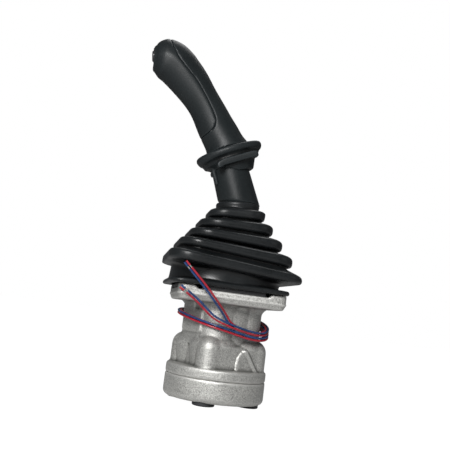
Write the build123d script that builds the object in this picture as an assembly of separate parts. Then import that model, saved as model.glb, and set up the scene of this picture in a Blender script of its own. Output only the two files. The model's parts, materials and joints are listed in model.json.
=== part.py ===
"""Hydraulic pilot joystick valve: a cast valve body with four plungers, a universal joint with a
swash disc, a rubber bellows and a bent hand grip with a horn button.

Frame: +Z up along the valve's axis, origin at the centre of the port block's lower face. The grip
bends towards -X. Millimetres throughout."""

import os
from math import cos, radians, sin, sqrt, tan

from build123d import *

# ---------------------------------------------------------------- driving dimensions
BODY_R = 46.5                # round port block and the foot of the casing
BLOCK_H = 20.0               # port block height
BLOCK_EDGE_R = 4.5           # rounding of its lower edge
FOOT_H = 9.4                 # round foot of the casing, above the port block
PATTERN_TURN = 22.0          # how far the plunger pattern is turned from -Y towards -X, degrees

BULGE_PITCH_R = 33.0         # service passages, from the valve's axis
BULGE_R = 11.5               # cast bulge round each service passage
BULGE_TOP_Z = 55.0           # crown of the bulge
SHOULDER_Z = 50.0            # flat top of the squared lower casing
NECK_LOBE_R = 18.0           # cast lobe round each plunger bore
NECK_LOBE_PITCH_R = 18.7
FLANGE_HALF = 48.5           # half the side of the square mounting flange
FLANGE_UNDER_Z = 86.6
DECK_Z = 97.0                # top face of the flange
EAR_H = 3.0                  # corner ears above the deck
EAR_SIDE = 17.0              # length of an ear along the flange's side
FLANGE_CORNER_R = 6.0
BOLT_SPACING = 78.0          # mounting holes, both ways
BOLT_HOLE_R = 4.5

ROD_PITCH_R = 21.0           # push rods, from the valve's axis
ROD_R = 4.0
ROD_DOME_R = 5.0
GUIDE_R = 11.5               # plug that guides a push rod
GUIDE_LENGTH = 14.0
CHAMBER_R = 10.5             # spring chamber below the guide
CHAMBER_FLOOR_Z = 52.0
SPOOL_R = 4.48
SPOOL_NECK_R = 1.9
PASSAGE_R = 3.5              # vertical oil passages
CROSS_DRILL_R = 2.2

SERVICE_PORT_R = 6.6         # threaded service ports, wall radius
SERVICE_SPOT_R = 11.0
MAIN_PORT_PITCH_R = 27.0     # pressure and tank ports, from the valve's axis
SCREW_PITCH_R = 24.5         # screws that hold the block to the casing
MAIN_PORT_R = 7.6
MAIN_SPOT_R = 11.8
PORT_DEPTH = 14.0            # threaded length, from the bottom of the spot face
SPOT_DEPTH = 1.0
PLUG_HEAD_H = 3.0            # how far a port plug's head stands below the block

PIVOT_Z = 106.0              # centre of the universal joint
TILT = radians(18.0)         # full tilt each way
TRUNNION_R = 3.0
TRUNNION_HALF = 11.0         # half the length of each cross pin
FORK_EAR_R = 4.6
FORK_GAP = 7.0               # from the joint's centre to the inner face of a fork ear
DISC_R = 26.0
DISC_UNDER_H = 9.0           # swash disc's lower face above the joint's centre
DISC_T = 6.0
DISC_GAP = 0.3               # free play between disc and push rod
SHANK_R = 7.0                # threaded shank above the upper fork

BOOT_WALL = 2.0
BOOT_LIP_HALF = 54.0
BOOT_LIP_H = 4.7
BOOT_SKIRT_HALF = 52.0
BOOT_SKIRT_CORNER = 46.0
BOOT_PITCH = 12.8            # height from one fold to the next
BOOT_FOLDS = 5
BOOT_FOLD_HALF = (61.5, 52.5, 43.5, 35.0, 27.0)
BOOT_FOLD_CORNER = 20.0
BOOT_FIRST_FOLD_Z = 120.0
BOOT_NECK_R = 20.3
BOOT_TOP_Z = 183.6
BOOT_NECK_SHIFT = 1.5        # the neck's centre, towards +X

SLEEVE_LEAN = 21.3           # lean of the grip's sleeve towards -X, degrees
SLEEVE_FOOT = (1.2, 186.0)   # centre of the sleeve's lower end, X and Z
SLEEVE_FOOT_R = 19.0
SLEEVE_TOP_R = 17.6
SLEEVE_LENGTH = 36.0
LEVER_ROD_R = 6.0
COLLAR_CENTRE = (-12.0, 229.0)
COLLAR_LEAN = 25.0
COLLAR_HALF_LENGTH = 33.0
COLLAR_HALF_WIDTH = 26.0
COLLAR_RIM_H = 6.4

GRIP_WALL = 2.6
BUTTON_R = 5.4
BUTTON_GUIDE_R = 8.0
BUTTON_TRAVEL = 1.5
BUTTON_PROUD = 1.8
BUTTON_LEAN = 98.0           # direction of the button's axis, from +Z towards -X, degrees
BUTTON_FACE = (-101.6, 317.0)  # where that axis leaves the head

WIRE_R = 0.9                 # insulated button wires
WIRE_PITCH = 2.2             # centre to centre in the bundle
STRAND_R = 0.55              # bare conductor near a wire's end
STRAND_LENGTH = 2.6
SLUG_LENGTH = 4.6            # piece of insulation left on the conductor's end
GROMMET_HALF_X = 6.5         # rubber grommet in the rear edge of the base plate
GROMMET_FACE_Y = 49.2
GROMMET_DEPTH = 8.0

# The wire bundle's middle on its way down and round the neck: angle from +X, distance from the axis, height
BUNDLE_ROUTE = [
    (90, 61.5, 92.0), (86, 61.0, 84.0), (76, 57.5, 76.5), (61, 50.5, 72.6), (44, 44.5, 71.2),
    (26, 41.4, 69.8), (8, 41.6, 67.6), (-8, 43.6, 63.9), (-24, 43.6, 60.2), (-42, 41.5, 58.6),
    (-62, 39.2, 59.8), (-84, 38.6, 63.0), (-107, 40.3, 66.2), (-130, 39.4, 69.3), (-153, 39.4, 72.3),
    (-176, 41.4, 75.0), (-199, 41.4, 77.0), (-222, 39.2, 78.4), (-246, 38.5, 79.0), (-270, 39.4, 78.4),
    (-292, 40.6, 77.2), (-313, 40.3, 76.2), (-334, 40.4, 74.9), (-352, 41.5, 72.5), (-368, 43.5, 68.8),
    (-384, 43.4, 65.0), (-402, 41.2, 63.2), (-422, 39.8, 64.5), (-446, 40.4, 68.0)]
# The two pairs' free ends, on from there, as X, Y, Z
UPPER_PAIR = [(-5.6, -43.6, 78.2), (-15.5, -52.8, 87.6), (-26.6, -57.6, 98.8), (-41.9, -60.8, 112.6)]
LOWER_PAIR = [(-13.6, -46.2, 72.8), (-23.9, -51.0, 80.4), (-32.7, -52.4, 87.6), (-41.5, -52.4, 93.0)]
# Each wire: place along X in the grommet, inner (-1) or outer (1) layer, lower (-1) or upper (1) row, free end
WIRES = {
    "red_wire_1": (3.4, -1, 1, UPPER_PAIR),
    "blue_wire_1": (-3.4, -1, -1, UPPER_PAIR),
    "blue_wire_2": (1.15, 1, 1, LOWER_PAIR),
    "red_wire_2": (-1.15, 1, -1, LOWER_PAIR),
}

# ---------------------------------------------------------------- named clearances
RUN_CLEARANCE = 0.04         # radial, sliding rods and turning pins
SPOOL_CLEARANCE = 0.02
LOOSE = 0.3                  # between neighbours that do not fit each other
SEAM = 0.15                  # joint line between the two grip halves

# ---------------------------------------------------------------- worked-out levels
FOOT_TOP_Z = BLOCK_H + FOOT_H
EAR_TOP_Z = DECK_Z + EAR_H
PLATE_TOP_Z = EAR_TOP_Z
LIP_TOP_Z = PLATE_TOP_Z + BOOT_LIP_H
GROMMET_Z = DECK_Z + EAR_H / 2
GUIDE_FOOT_Z = DECK_Z - GUIDE_LENGTH
DISC_UNDER_Z = PIVOT_Z + DISC_UNDER_H
ROD_TOP_Z = DISC_UNDER_Z - DISC_GAP
ROD_STROKE = ROD_PITCH_R * TILT
TUBE_TOP_Z = GUIDE_FOOT_Z - ROD_STROKE - LOOSE
BULGE_CENTRE_Z = BULGE_TOP_Z - BULGE_R

STEM_R = 6.0                 # threaded stem of the lower fork
STEM_FOOT_Z = DECK_Z - 16.0
PLATE_SCREW_R = 2.0
PLATE_SCREW_LENGTH = 8.0
PLATE_SCREW_REACH = 36.0
PLATE_SCREW_PLACES = [(PLATE_SCREW_REACH, 0), (0, PLATE_SCREW_REACH),
                      (-PLATE_SCREW_REACH, 0), (0, -PLATE_SCREW_REACH)]
PLATE_HALF = FLANGE_HALF - 0.6
HUB_R = 12.0                 # flange of the lower fork, in the plate's middle
CROWN_H = 8.0                # crown of the upper fork above the joint's centre
CROWN_R = TRUNNION_HALF + 0.4
DISC_TOP_Z = DISC_UNDER_Z + DISC_T
NUT_H = 7.0
SHANK_TOP_Z = DISC_TOP_Z + 2 * NUT_H + 2.0

os.makedirs("parts", exist_ok=True)


def save(name, shape):
    """Write one node: a solid, or a group of separate solids."""
    solids = shape.solids()
    export_step(solids[0] if len(solids) == 1 else Compound(children=solids), f"parts/{name}.step")
    print(f"{name:24s} {len(solids)} solids")


def round_bar(radius, low, high):
    """A cylinder on the Z axis from one height to another."""
    return Pos(0, 0, (low + high) / 2) * Cylinder(radius, high - low)


def ring(outer, inner, low, high):
    return round_bar(outer, low, high) - round_bar(inner, low - 1, high + 1)


def plunger_angle(number, offset=0.0):
    """Direction of a plunger from the valve's axis: number 0 is the front one, next to -Y."""
    return 270.0 - PATTERN_TURN + 90.0 * number + offset


def at_pattern(shape, pitch_r, numbers=(0, 1, 2, 3), offset=0.0):
    """Copies of a shape on the plunger pattern, each turned with its own direction."""
    return [Rot(0, 0, plunger_angle(n, offset)) * (Pos(pitch_r, 0, 0) * shape) for n in numbers]


def rounded_slab(half, corner_r, low, high):
    return Pos(0, 0, low) * extrude(RectangleRounded(2 * half, 2 * half, corner_r), high - low)


# ---------------------------------------------------------------- port block
def port_cutters():
    """Threaded ports with their spot faces, and the passages that lead up from them."""
    service = round_bar(SERVICE_PORT_R, -1, SPOT_DEPTH + PORT_DEPTH)
    service += round_bar(SERVICE_SPOT_R, -1, SPOT_DEPTH)
    service += round_bar(PASSAGE_R, 0, BLOCK_H + 1)
    main = round_bar(MAIN_PORT_R, -1, SPOT_DEPTH + PORT_DEPTH)
    main += round_bar(MAIN_SPOT_R, -1, SPOT_DEPTH)
    main += round_bar(PASSAGE_R, 0, BLOCK_H + 1)
    return at_pattern(service, BULGE_PITCH_R) + at_pattern(main, MAIN_PORT_PITCH_R, (0, 2), 45.0)


SCREW_R = 4.0
SCREW_HEAD_R = 6.5
SCREW_HEAD_H = 8.0
SCREW_SUNK = 9.0             # depth of the counterbore in the block's lower face
SCREW_TIP_Z = BLOCK_H + 14.0
SEAL_GROOVE_R = 5.6          # middle of the groove round each passage
SEAL_CORD_R = 0.75


def seal_places(shape):
    return at_pattern(shape, BULGE_PITCH_R) + at_pattern(shape, MAIN_PORT_PITCH_R, (0, 2), 45.0)


def port_block():
    block = round_bar(BODY_R, 0, BLOCK_H)
    block = fillet(block.edges().sort_by(Axis.Z)[0], BLOCK_EDGE_R)
    block = chamfer(block.edges().group_by(Axis.Z)[-1], 0.5)
    screw_hole = round_bar(SCREW_R + LOOSE, 0, BLOCK_H + 1)
    screw_hole += round_bar(SCREW_HEAD_R + LOOSE, -1, SCREW_SUNK)
    groove = ring(SEAL_GROOVE_R + SEAL_CORD_R, SEAL_GROOVE_R - SEAL_CORD_R,
                  BLOCK_H - 2 * SEAL_CORD_R, BLOCK_H + 1)
    for cutter in port_cutters() + at_pattern(screw_hole, SCREW_PITCH_R, (1, 3), 45.0) + seal_places(groove):
        block -= cutter
    return block


def block_seals():
    seal = Pos(0, 0, BLOCK_H - SEAL_CORD_R) * Torus(SEAL_GROOVE_R, SEAL_CORD_R - 0.01)
    return Compound(children=seal_places(seal))


def socket_screw(shank_r, head_r, head_h, length):
    """A socket-head screw with its head's lower face at zero and its tip up."""
    screw = round_bar(head_r, 0, head_h) + round_bar(shank_r, head_h, head_h + length)
    socket = Pos(0, 0, -1) * extrude(RegularPolygon(head_r * 0.5, 6), 1 + head_h * 0.55)
    return chamfer((screw - socket).edges().group_by(Axis.Z)[-1], shank_r * 0.15)


def block_screws():
    head_z = SCREW_SUNK - SCREW_HEAD_H
    screw = Pos(0, 0, head_z) * socket_screw(
        SCREW_R, SCREW_HEAD_R, SCREW_HEAD_H, SCREW_TIP_Z - SCREW_SUNK)
    return Compound(children=at_pattern(screw, SCREW_PITCH_R, (1, 3), 45.0))


def port_plugs():
    """Moulded caps pressed into the four service ports."""
    head = round_bar(SERVICE_SPOT_R - 1.0, -PLUG_HEAD_H, SPOT_DEPTH)
    head = fillet(head.edges().sort_by(Axis.Z)[0], 1.0)
    head -= Pos(0, 0, -PLUG_HEAD_H - 1) * extrude(RegularPolygon(4.0, 6), 3.2)
    stem = round_bar(SERVICE_PORT_R, SPOT_DEPTH, SPOT_DEPTH + PORT_DEPTH * 0.7)
    stem -= round_bar(SERVICE_PORT_R - 2.0, SPOT_DEPTH + 2, SPOT_DEPTH + PORT_DEPTH)
    return Compound(children=at_pattern(head + stem, BULGE_PITCH_R))


# ---------------------------------------------------------------- casing
SHOULDER_SLOPE_H = 9.0       # height of the slope from the squared block to the neck
PANEL_DEPTH = 4.5            # recessed panel on the left front
PANEL_HALF = 11.0
PANEL_TOP_Z = 46.0


def block_outline():
    """Squared lower casing: a square whose rounded corners are the four bulges."""
    side = BULGE_PITCH_R * sqrt(2) + 2 * BULGE_R
    square = RectangleRounded(side, side, BULGE_R - 0.01)
    return Rot(0, 0, plunger_angle(0) + 45.0) * square


def neck_outline():
    """Four lobes, one round each plunger bore."""
    lobe = Pos(NECK_LOBE_PITCH_R, 0) * Circle(NECK_LOBE_R)
    outline = Circle(NECK_LOBE_PITCH_R)
    for number in range(4):
        outline += Rot(0, 0, plunger_angle(number)) * lobe
    return outline


def casing_outside():
    body = round_bar(BODY_R, BLOCK_H, FOOT_TOP_Z)
    body = fillet(body.edges().group_by(Axis.Z)[-1], 1.6)
    body = chamfer(body.edges().group_by(Axis.Z)[0], 0.5)
    block = Pos(0, 0, FOOT_TOP_Z - 1) * extrude(block_outline(), SHOULDER_Z - FOOT_TOP_Z + 1)
    block = chamfer(block.edges().group_by(Axis.Z)[-1], 2.4)
    body += block
    bulge = round_bar(BULGE_R, BLOCK_H, BULGE_CENTRE_Z) + Pos(0, 0, BULGE_CENTRE_Z) * Sphere(BULGE_R)
    for copy in at_pattern(bulge, BULGE_PITCH_R):
        body += copy
    body += Pos(0, 0, FOOT_TOP_Z) * extrude(neck_outline(), FLANGE_UNDER_Z - FOOT_TOP_Z)
    cone = Pos(0, 0, SHOULDER_Z + SHOULDER_SLOPE_H / 2 - 1.5) * Cone(
        NECK_LOBE_R + 6.0, NECK_LOBE_R, SHOULDER_SLOPE_H)
    collar = Pos(0, 0, FLANGE_UNDER_Z - 3.0) * Cone(NECK_LOBE_R, NECK_LOBE_R + 6.0, 6.0)
    for copy in at_pattern(cone + collar, NECK_LOBE_PITCH_R):
        body += copy
    return body


def flange():
    """Square mounting flange with four raised corner ears."""
    slab = rounded_slab(FLANGE_HALF, FLANGE_CORNER_R, FLANGE_UNDER_Z, DECK_Z)
    slab = fillet(slab.edges().group_by(Axis.Z)[0], 1.2)
    ears = rounded_slab(FLANGE_HALF, FLANGE_CORNER_R, DECK_Z - 1, EAR_TOP_Z)
    reach = FLANGE_HALF - EAR_SIDE
    gap = Polyline((-reach, DECK_Z), (reach, DECK_Z), (reach + EAR_H, EAR_TOP_Z + 0.01),
                   (reach + EAR_H, EAR_TOP_Z + 2), (-reach - EAR_H, EAR_TOP_Z + 2),
                   (-reach - EAR_H, EAR_TOP_Z + 0.01), close=True)
    slot = extrude(Plane.XZ * make_face(gap), FLANGE_HALF + 1, both=True)
    return slab + (ears - slot - Rot(0, 0, 90) * slot)


def gusset(angle):
    """Half-cone gusset on the squared block's flush side, with a ridge along its straight edge."""
    face_r = BULGE_PITCH_R / sqrt(2) + BULGE_R
    base_z, tip_z, half = FOOT_TOP_Z + 1.0, SHOULDER_Z - 2.0, 9.6
    outline = Polyline((-half, base_z), (half, base_z), (-1.5, tip_z), close=True)
    boss = extrude(Plane.YZ * make_face(outline), 2.2)
    boss = chamfer(boss.faces().sort_by(Axis.X)[-1].edges(), 1.2)
    ridge_run = Polyline((half, base_z), (-1.5, tip_z), (-3.6, tip_z - 1.2), (half - 2.4, base_z), close=True)
    boss += extrude(Plane.YZ * make_face(ridge_run), 3.4)
    return Rot(0, 0, angle) * (Pos(face_r - 0.6, 0, 0) * boss)


def casing_details(body):
    """Cast details that tell the sides apart."""
    face_r = BULGE_PITCH_R / sqrt(2) + BULGE_R
    left = plunger_angle(0, -45.0)
    panel = Pos(face_r, 0, (FOOT_TOP_Z + PANEL_TOP_Z) / 2 + 0.5) * Box(
        2 * PANEL_DEPTH, 2 * PANEL_HALF, PANEL_TOP_Z - FOOT_TOP_Z + 1)
    panel = fillet(panel.edges().filter_by(Axis.Z), 3.0)
    body -= Rot(0, 0, left) * panel
    body -= Rot(0, 0, left + 180) * panel
    body += gusset(plunger_angle(0, 45.0))
    body += gusset(plunger_angle(2, 45.0))
    number_pad = Pos(face_r - 8.5, 0, SHOULDER_Z + 3.0) * (Rot(0, 40, 0) * Box(1.6, 17, 8.5))
    body += Rot(0, 0, left) * number_pad
    stop_pad = Pos(NECK_LOBE_PITCH_R + NECK_LOBE_R - 2.6, 0, 68.0) * Box(6.5, 15, 22)
    stop_pad = fillet(stop_pad.edges().filter_by(Axis.Z), 2.0)
    body += Rot(0, 0, plunger_angle(0, -70.0)) * stop_pad
    return body


def casing_cutters():
    """Bores, oil passages, screw holes and mounting holes."""
    bore = round_bar(GUIDE_R, GUIDE_FOOT_Z, DECK_Z + 1)
    bore += round_bar(CHAMBER_R, CHAMBER_FLOOR_Z, GUIDE_FOOT_Z + 1)
    bore += round_bar(SPOOL_R + SPOOL_CLEARANCE, BLOCK_H - 1, CHAMBER_FLOOR_Z + 1)
    service = round_bar(PASSAGE_R, BLOCK_H - 1, BULGE_CENTRE_Z)
    feed = Pos(0, 0, 40.0) * Rot(0, -90, 0) * round_bar(CROSS_DRILL_R, 0, BULGE_PITCH_R - ROD_PITCH_R)
    cutters = at_pattern(bore, ROD_PITCH_R) + at_pattern(service + feed, BULGE_PITCH_R)
    pressure_z, tank_z, drain_z = 26.0, 45.0, CHAMBER_FLOOR_Z + 3.0
    to_axis = Rot(0, -90, 0) * round_bar(PASSAGE_R - 0.5, 0, MAIN_PORT_PITCH_R)
    pressure = round_bar(PASSAGE_R, BLOCK_H - 1, pressure_z) + Pos(0, 0, pressure_z) * to_axis
    tank = round_bar(PASSAGE_R, BLOCK_H - 1, tank_z) + Pos(0, 0, tank_z) * to_axis
    cutters += at_pattern(pressure, MAIN_PORT_PITCH_R, (0,), 45.0)
    cutters += at_pattern(tank, MAIN_PORT_PITCH_R, (2,), 45.0)
    cutters += [round_bar(PASSAGE_R, pressure_z, 34.0), round_bar(PASSAGE_R, tank_z, drain_z + 2)]
    spoke = Rot(0, 90, 0) * round_bar(CROSS_DRILL_R, 0, ROD_PITCH_R)
    for number in range(4):
        turn = Rot(0, 0, plunger_angle(number))
        cutters += [turn * Pos(0, 0, 31.0) * spoke, turn * Pos(0, 0, drain_z) * spoke]
    cutters += at_pattern(round_bar(SCREW_R, BLOCK_H - 1, SCREW_TIP_Z + 2), SCREW_PITCH_R, (1, 3), 45.0)
    cutters.append(round_bar(STEM_R, STEM_FOOT_Z - 2, DECK_Z + 1))
    half = BOLT_SPACING / 2
    for x in (-half, half):
        for y in (-half, half):
            cutters.append(Pos(x, y, 0) * round_bar(BOLT_HOLE_R, FLANGE_UNDER_Z - 1, EAR_TOP_Z + 1))
    for x, y in PLATE_SCREW_PLACES:
        cutters.append(Pos(x, y, 0) * round_bar(PLATE_SCREW_R, DECK_Z - PLATE_SCREW_LENGTH, DECK_Z + 1))
    return cutters


def bored(shape):
    for cutter in casing_cutters():
        shape -= cutter
    return shape


def casing():
    """The casting below the flange: round foot, squared chamber block and fluted neck."""
    return bored(casing_details(casing_outside()))


# ---------------------------------------------------------------- guides, seals and the plate
WIPER_H = 3.0
WIPER_R = 6.5
RING_R = 1.0                 # o-ring cord on the guide plug


def rod_guide():
    """Plug pressed into the casing that guides a push rod and holds its wiper."""
    plug = round_bar(GUIDE_R, GUIDE_FOOT_Z, DECK_Z)
    plug -= round_bar(ROD_R + RUN_CLEARANCE, GUIDE_FOOT_Z - 1, DECK_Z + 1)
    plug -= round_bar(WIPER_R, DECK_Z - WIPER_H, DECK_Z + 1)
    plug -= ring(GUIDE_R + 1, GUIDE_R - 2 * RING_R, GUIDE_FOOT_Z + 4, GUIDE_FOOT_Z + 4 + 2.6 * RING_R)
    return chamfer(plug.edges().group_by(Axis.Z)[0].sort_by(SortBy.RADIUS)[-1], 0.8)


def guide_seal():
    return Pos(0, 0, GUIDE_FOOT_Z + 4 + 1.3 * RING_R) * Torus(GUIDE_R - RING_R, RING_R - 0.01)


def rod_wiper():
    wiper = ring(WIPER_R, ROD_R + RUN_CLEARANCE, DECK_Z - WIPER_H, DECK_Z)
    return wiper - ring(WIPER_R - 0.8, ROD_R + 1.0, DECK_Z - 1.2, DECK_Z + 1)


def base_plate():
    """Pressed steel plate in the recess between the ears. It holds the guide plugs down."""
    plate = rounded_slab(PLATE_HALF, FLANGE_CORNER_R, DECK_Z, PLATE_TOP_Z)
    ear = EAR_SIDE + LOOSE + EAR_H
    notch = FLANGE_HALF - ear / 2
    for x in (-notch, notch):
        for y in (-notch, notch):
            plate -= Pos(x, y, (DECK_Z + PLATE_TOP_Z) / 2) * Box(ear, ear, 2 * EAR_H)
    plate -= round_bar(HUB_R + LOOSE, DECK_Z - 1, PLATE_TOP_Z + 1)
    for hole in at_pattern(round_bar(ROD_R + 0.8, DECK_Z - 1, PLATE_TOP_Z + 1), ROD_PITCH_R):
        plate -= hole
    plate -= Pos(0, PLATE_HALF, (DECK_Z + PLATE_TOP_Z) / 2) * Box(
        2 * (GROMMET_HALF_X + LOOSE), 2 * (PLATE_HALF - GROMMET_FACE_Y + GROMMET_DEPTH + LOOSE), 2 * EAR_H)
    for x, y in PLATE_SCREW_PLACES:
        plate -= Pos(x, y, PLATE_TOP_Z - 1.1) * Cone(PLATE_SCREW_R + 0.2, PLATE_SCREW_R + 2.4, 2.2)
        plate -= Pos(x, y, 0) * round_bar(PLATE_SCREW_R + 0.2, DECK_Z - 1, PLATE_TOP_Z)
    return plate


def plate_screws():
    head = Pos(0, 0, PLATE_TOP_Z - 1.1) * Cone(PLATE_SCREW_R, PLATE_SCREW_R + 2.2, 2.2)
    screw = head + round_bar(PLATE_SCREW_R, DECK_Z - PLATE_SCREW_LENGTH, PLATE_TOP_Z - 2.2)
    screw -= Pos(0, 0, PLATE_TOP_Z - 1.2) * extrude(RegularPolygon(1.3, 6), 2)
    return Compound(children=[Pos(x, y, 0) * screw for x, y in PLATE_SCREW_PLACES])


# ---------------------------------------------------------------- universal joint
BUSH_R = TRUNNION_R + 1.0


def fork_ears(foot_z):
    """Two ears along X, round about the joint's centre and reaching down to foot_z (or up)."""
    ears = []
    for side in (-1, 1):
        middle = side * (FORK_GAP + (TRUNNION_HALF - FORK_GAP) / 2)
        width = TRUNNION_HALF - FORK_GAP
        ear = Pos(middle, 0, PIVOT_Z) * Rot(0, 90, 0) * Cylinder(FORK_EAR_R, width)
        ear += Pos(middle, 0, (PIVOT_Z + foot_z) / 2) * Box(width, 2 * FORK_EAR_R, abs(PIVOT_Z - foot_z))
        ears.append(ear)
    eye = Pos(0, 0, PIVOT_Z) * Rot(0, 90, 0) * Cylinder(BUSH_R, 4 * TRUNNION_HALF)
    return [ear - eye for ear in ears]


def joint_base():
    """Lower fork: a threaded stem screwed into the casing, a round flange and two ears."""
    fork = round_bar(STEM_R, STEM_FOOT_Z, DECK_Z) + round_bar(HUB_R, DECK_Z, PLATE_TOP_Z)
    for ear in fork_ears(PLATE_TOP_Z):
        fork += ear
    ear_swing = TRUNNION_HALF * sin(TILT) + FORK_EAR_R * cos(TILT) + LOOSE
    fork -= Pos(0, 0, PIVOT_Z - ear_swing + HUB_R) * Box(2 * (FORK_EAR_R + LOOSE), 3 * HUB_R, 2 * HUB_R)
    return Rot(0, 0, plunger_angle(0)) * fork


def joint_bushes(turn):
    bushes = []
    for side in (-1, 1):
        width = TRUNNION_HALF - FORK_GAP
        bush = Cylinder(BUSH_R, width) - Cylinder(TRUNNION_R + RUN_CLEARANCE, width + 2)
        bushes.append(Pos(side * (FORK_GAP + width / 2), 0, PIVOT_Z) * Rot(0, 90, 0) * bush)
    return Compound(children=[Rot(0, 0, plunger_angle(0) + turn) * bush for bush in bushes])


def joint_cross():
    """Cross with four trunnions."""
    hub_half = FORK_GAP - LOOSE
    cross = Pos(0, 0, PIVOT_Z) * Box(2 * hub_half, 2 * hub_half, 2 * TRUNNION_R + 2)
    cross = chamfer(cross.edges().filter_by(Axis.Z), 2.6)
    for turn in (0, 90):
        pin = Cylinder(TRUNNION_R, 2 * TRUNNION_HALF - 0.6)
        cross += Rot(0, 0, turn) * Pos(0, 0, PIVOT_Z) * Rot(0, 90, 0) * pin
    return Rot(0, 0, plunger_angle(0)) * cross


def upper_fork():
    """Upper fork: two ears, a round crown and a threaded shank that takes the disc and nuts."""
    crown_z = PIVOT_Z + CROWN_H
    fork = round_bar(CROWN_R, crown_z, DISC_UNDER_Z) + round_bar(SHANK_R, crown_z, SHANK_TOP_Z)
    for ear in fork_ears(crown_z):
        fork += Rot(0, 0, 90) * ear
    fork -= round_bar(LEVER_ROD_R - 1.5, DISC_TOP_Z, SHANK_TOP_Z + 1)
    return Rot(0, 0, plunger_angle(0)) * fork


def swash_disc():
    disc = round_bar(DISC_R, DISC_UNDER_Z, DISC_TOP_Z) - round_bar(SHANK_R, DISC_UNDER_Z - 1, DISC_TOP_Z + 1)
    disc = chamfer(disc.edges().group_by(Axis.Z)[-1].sort_by(SortBy.RADIUS)[-1], 2.0)
    return disc


def hex_nut(low, height, across):
    nut = Pos(0, 0, low) * extrude(RegularPolygon(across / 2, 6, major_radius=False), height)
    bevel = Pos(0, 0, low + height / 2) * Cylinder(across * 0.56, height)
    bevel = chamfer(bevel.edges(), 1.2)
    return (nut & bevel) - round_bar(SHANK_R, low - 1, low + height + 1)


# ---------------------------------------------------------------- plungers
TUBE_R = 6.0
TUBE_BORE_R = 3.6
TUBE_FOOT_Z = 61.0
SEAT_Z = 70.0
SEAT_R = CHAMBER_R - 0.5
HEAD_R = 3.2
HEAD_H = 1.6


def push_rod():
    """Push rod with a domed tip and a hollow foot that carries the spool's head."""
    rod = round_bar(ROD_R, TUBE_TOP_Z - 1, ROD_TOP_Z - 3)
    dome = Pos(0, 0, ROD_TOP_Z - ROD_DOME_R) * Sphere(ROD_DOME_R)
    rod += dome & round_bar(ROD_R, ROD_TOP_Z - 3.5, ROD_TOP_Z + 1)
    rod += round_bar(TUBE_R, TUBE_FOOT_Z, TUBE_TOP_Z)
    rod -= round_bar(TUBE_BORE_R, TUBE_FOOT_Z + 1.5, TUBE_TOP_Z - 1.5)
    return rod - round_bar(SPOOL_NECK_R + LOOSE, TUBE_FOOT_Z - 1, TUBE_FOOT_Z + 2)


def spring_seat():
    seat = ring(SEAT_R, TUBE_R, SEAT_Z, SEAT_Z + 2.2) + ring(TUBE_R + 1.4, TUBE_R, SEAT_Z - 2.5, SEAT_Z + 2.2)
    return seat


def spool():
    """Metering spool: two lands, a waisted middle, a neck and a round head."""
    shoulder_z = CHAMBER_FLOOR_Z + 2.0
    body = round_bar(SPOOL_R, BLOCK_H + 4, shoulder_z)
    body -= ring(SPOOL_R + 1, SPOOL_R - 1.4, 33.5, 37.5)
    body -= ring(SPOOL_R + 1, SPOOL_R - 1.4, 42.5, 49.0)
    head_z = (TUBE_FOOT_Z + 1.5 + TUBE_TOP_Z - 1.5) / 2
    body += round_bar(SPOOL_NECK_R, shoulder_z - 1, head_z)
    return body + round_bar(HEAD_R, head_z - HEAD_H / 2, head_z + HEAD_H / 2)


def coil_spring(radius, wire_r, low, high, turns):
    """Round-wire compression spring between two heights, with its wire just inside them."""
    height = high - low - 2 * wire_r - 0.1
    path = Pos(0, 0, low + wire_r + 0.05) * Helix(height / turns, height, radius)
    start = Plane(path @ 0, z_dir=path % 0)
    return sweep(start * Circle(wire_r), path, is_frenet=True)


# ---------------------------------------------------------------- bellows
def bellows_profile():
    """Outside of the bellows from the skirt up, as (half side, height) with the corner radius."""
    skirt_top = BOOT_FIRST_FOLD_Z - 4.2
    points = [(BOOT_SKIRT_HALF, LIP_TOP_Z, BOOT_SKIRT_CORNER), (BOOT_SKIRT_HALF, skirt_top, BOOT_SKIRT_CORNER)]
    for number, half in enumerate(BOOT_FOLD_HALF):
        nose_z = BOOT_FIRST_FOLD_Z + number * BOOT_PITCH
        points.append((half - 0.5, nose_z - 2.0, BOOT_FOLD_CORNER))
        points.append((half, nose_z, BOOT_FOLD_CORNER))
        points.append((half - 1.2, nose_z + 2.2, BOOT_FOLD_CORNER))
        if number + 1 < BOOT_FOLDS:
            next_half = BOOT_FOLD_HALF[number + 1]
            points.append((next_half - 3.0, nose_z + BOOT_PITCH - 4.6, BOOT_FOLD_CORNER - 1))
    points.append((BOOT_NECK_R, BOOT_TOP_Z - 6.0, BOOT_NECK_R - 0.2))
    points.append((BOOT_NECK_R, BOOT_TOP_Z, BOOT_NECK_R - 0.2))
    return points


def inside_of(points, wall):
    """The same profile moved inwards by the wall, measured square to it."""
    inner = []
    for i, (half, z, corner) in enumerate(points):
        before = points[max(i - 1, 0)]
        after = points[min(i + 1, len(points) - 1)]
        shift_x = shift_z = 0.0
        sides = [(before, points[i])] if i else []
        if i + 1 < len(points):
            sides.append((points[i], after))
        normals = []
        for low, high in sides:
            run, rise = high[0] - low[0], high[1] - low[1]
            size = sqrt(run * run + rise * rise)
            normals.append((-rise / size, run / size))
        mean_x = sum(n[0] for n in normals)
        mean_z = sum(n[1] for n in normals)
        scale = wall * len(normals) / (mean_x ** 2 + mean_z ** 2)
        shift_x, shift_z = mean_x * scale, mean_z * scale
        shift_x, shift_z = max(shift_x, -2.2 * wall), max(-1.2 * wall, min(shift_z, 1.2 * wall))
        inner.append((half + shift_x, z + shift_z, max(corner + shift_x, 2.0)))
    return inner


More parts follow.
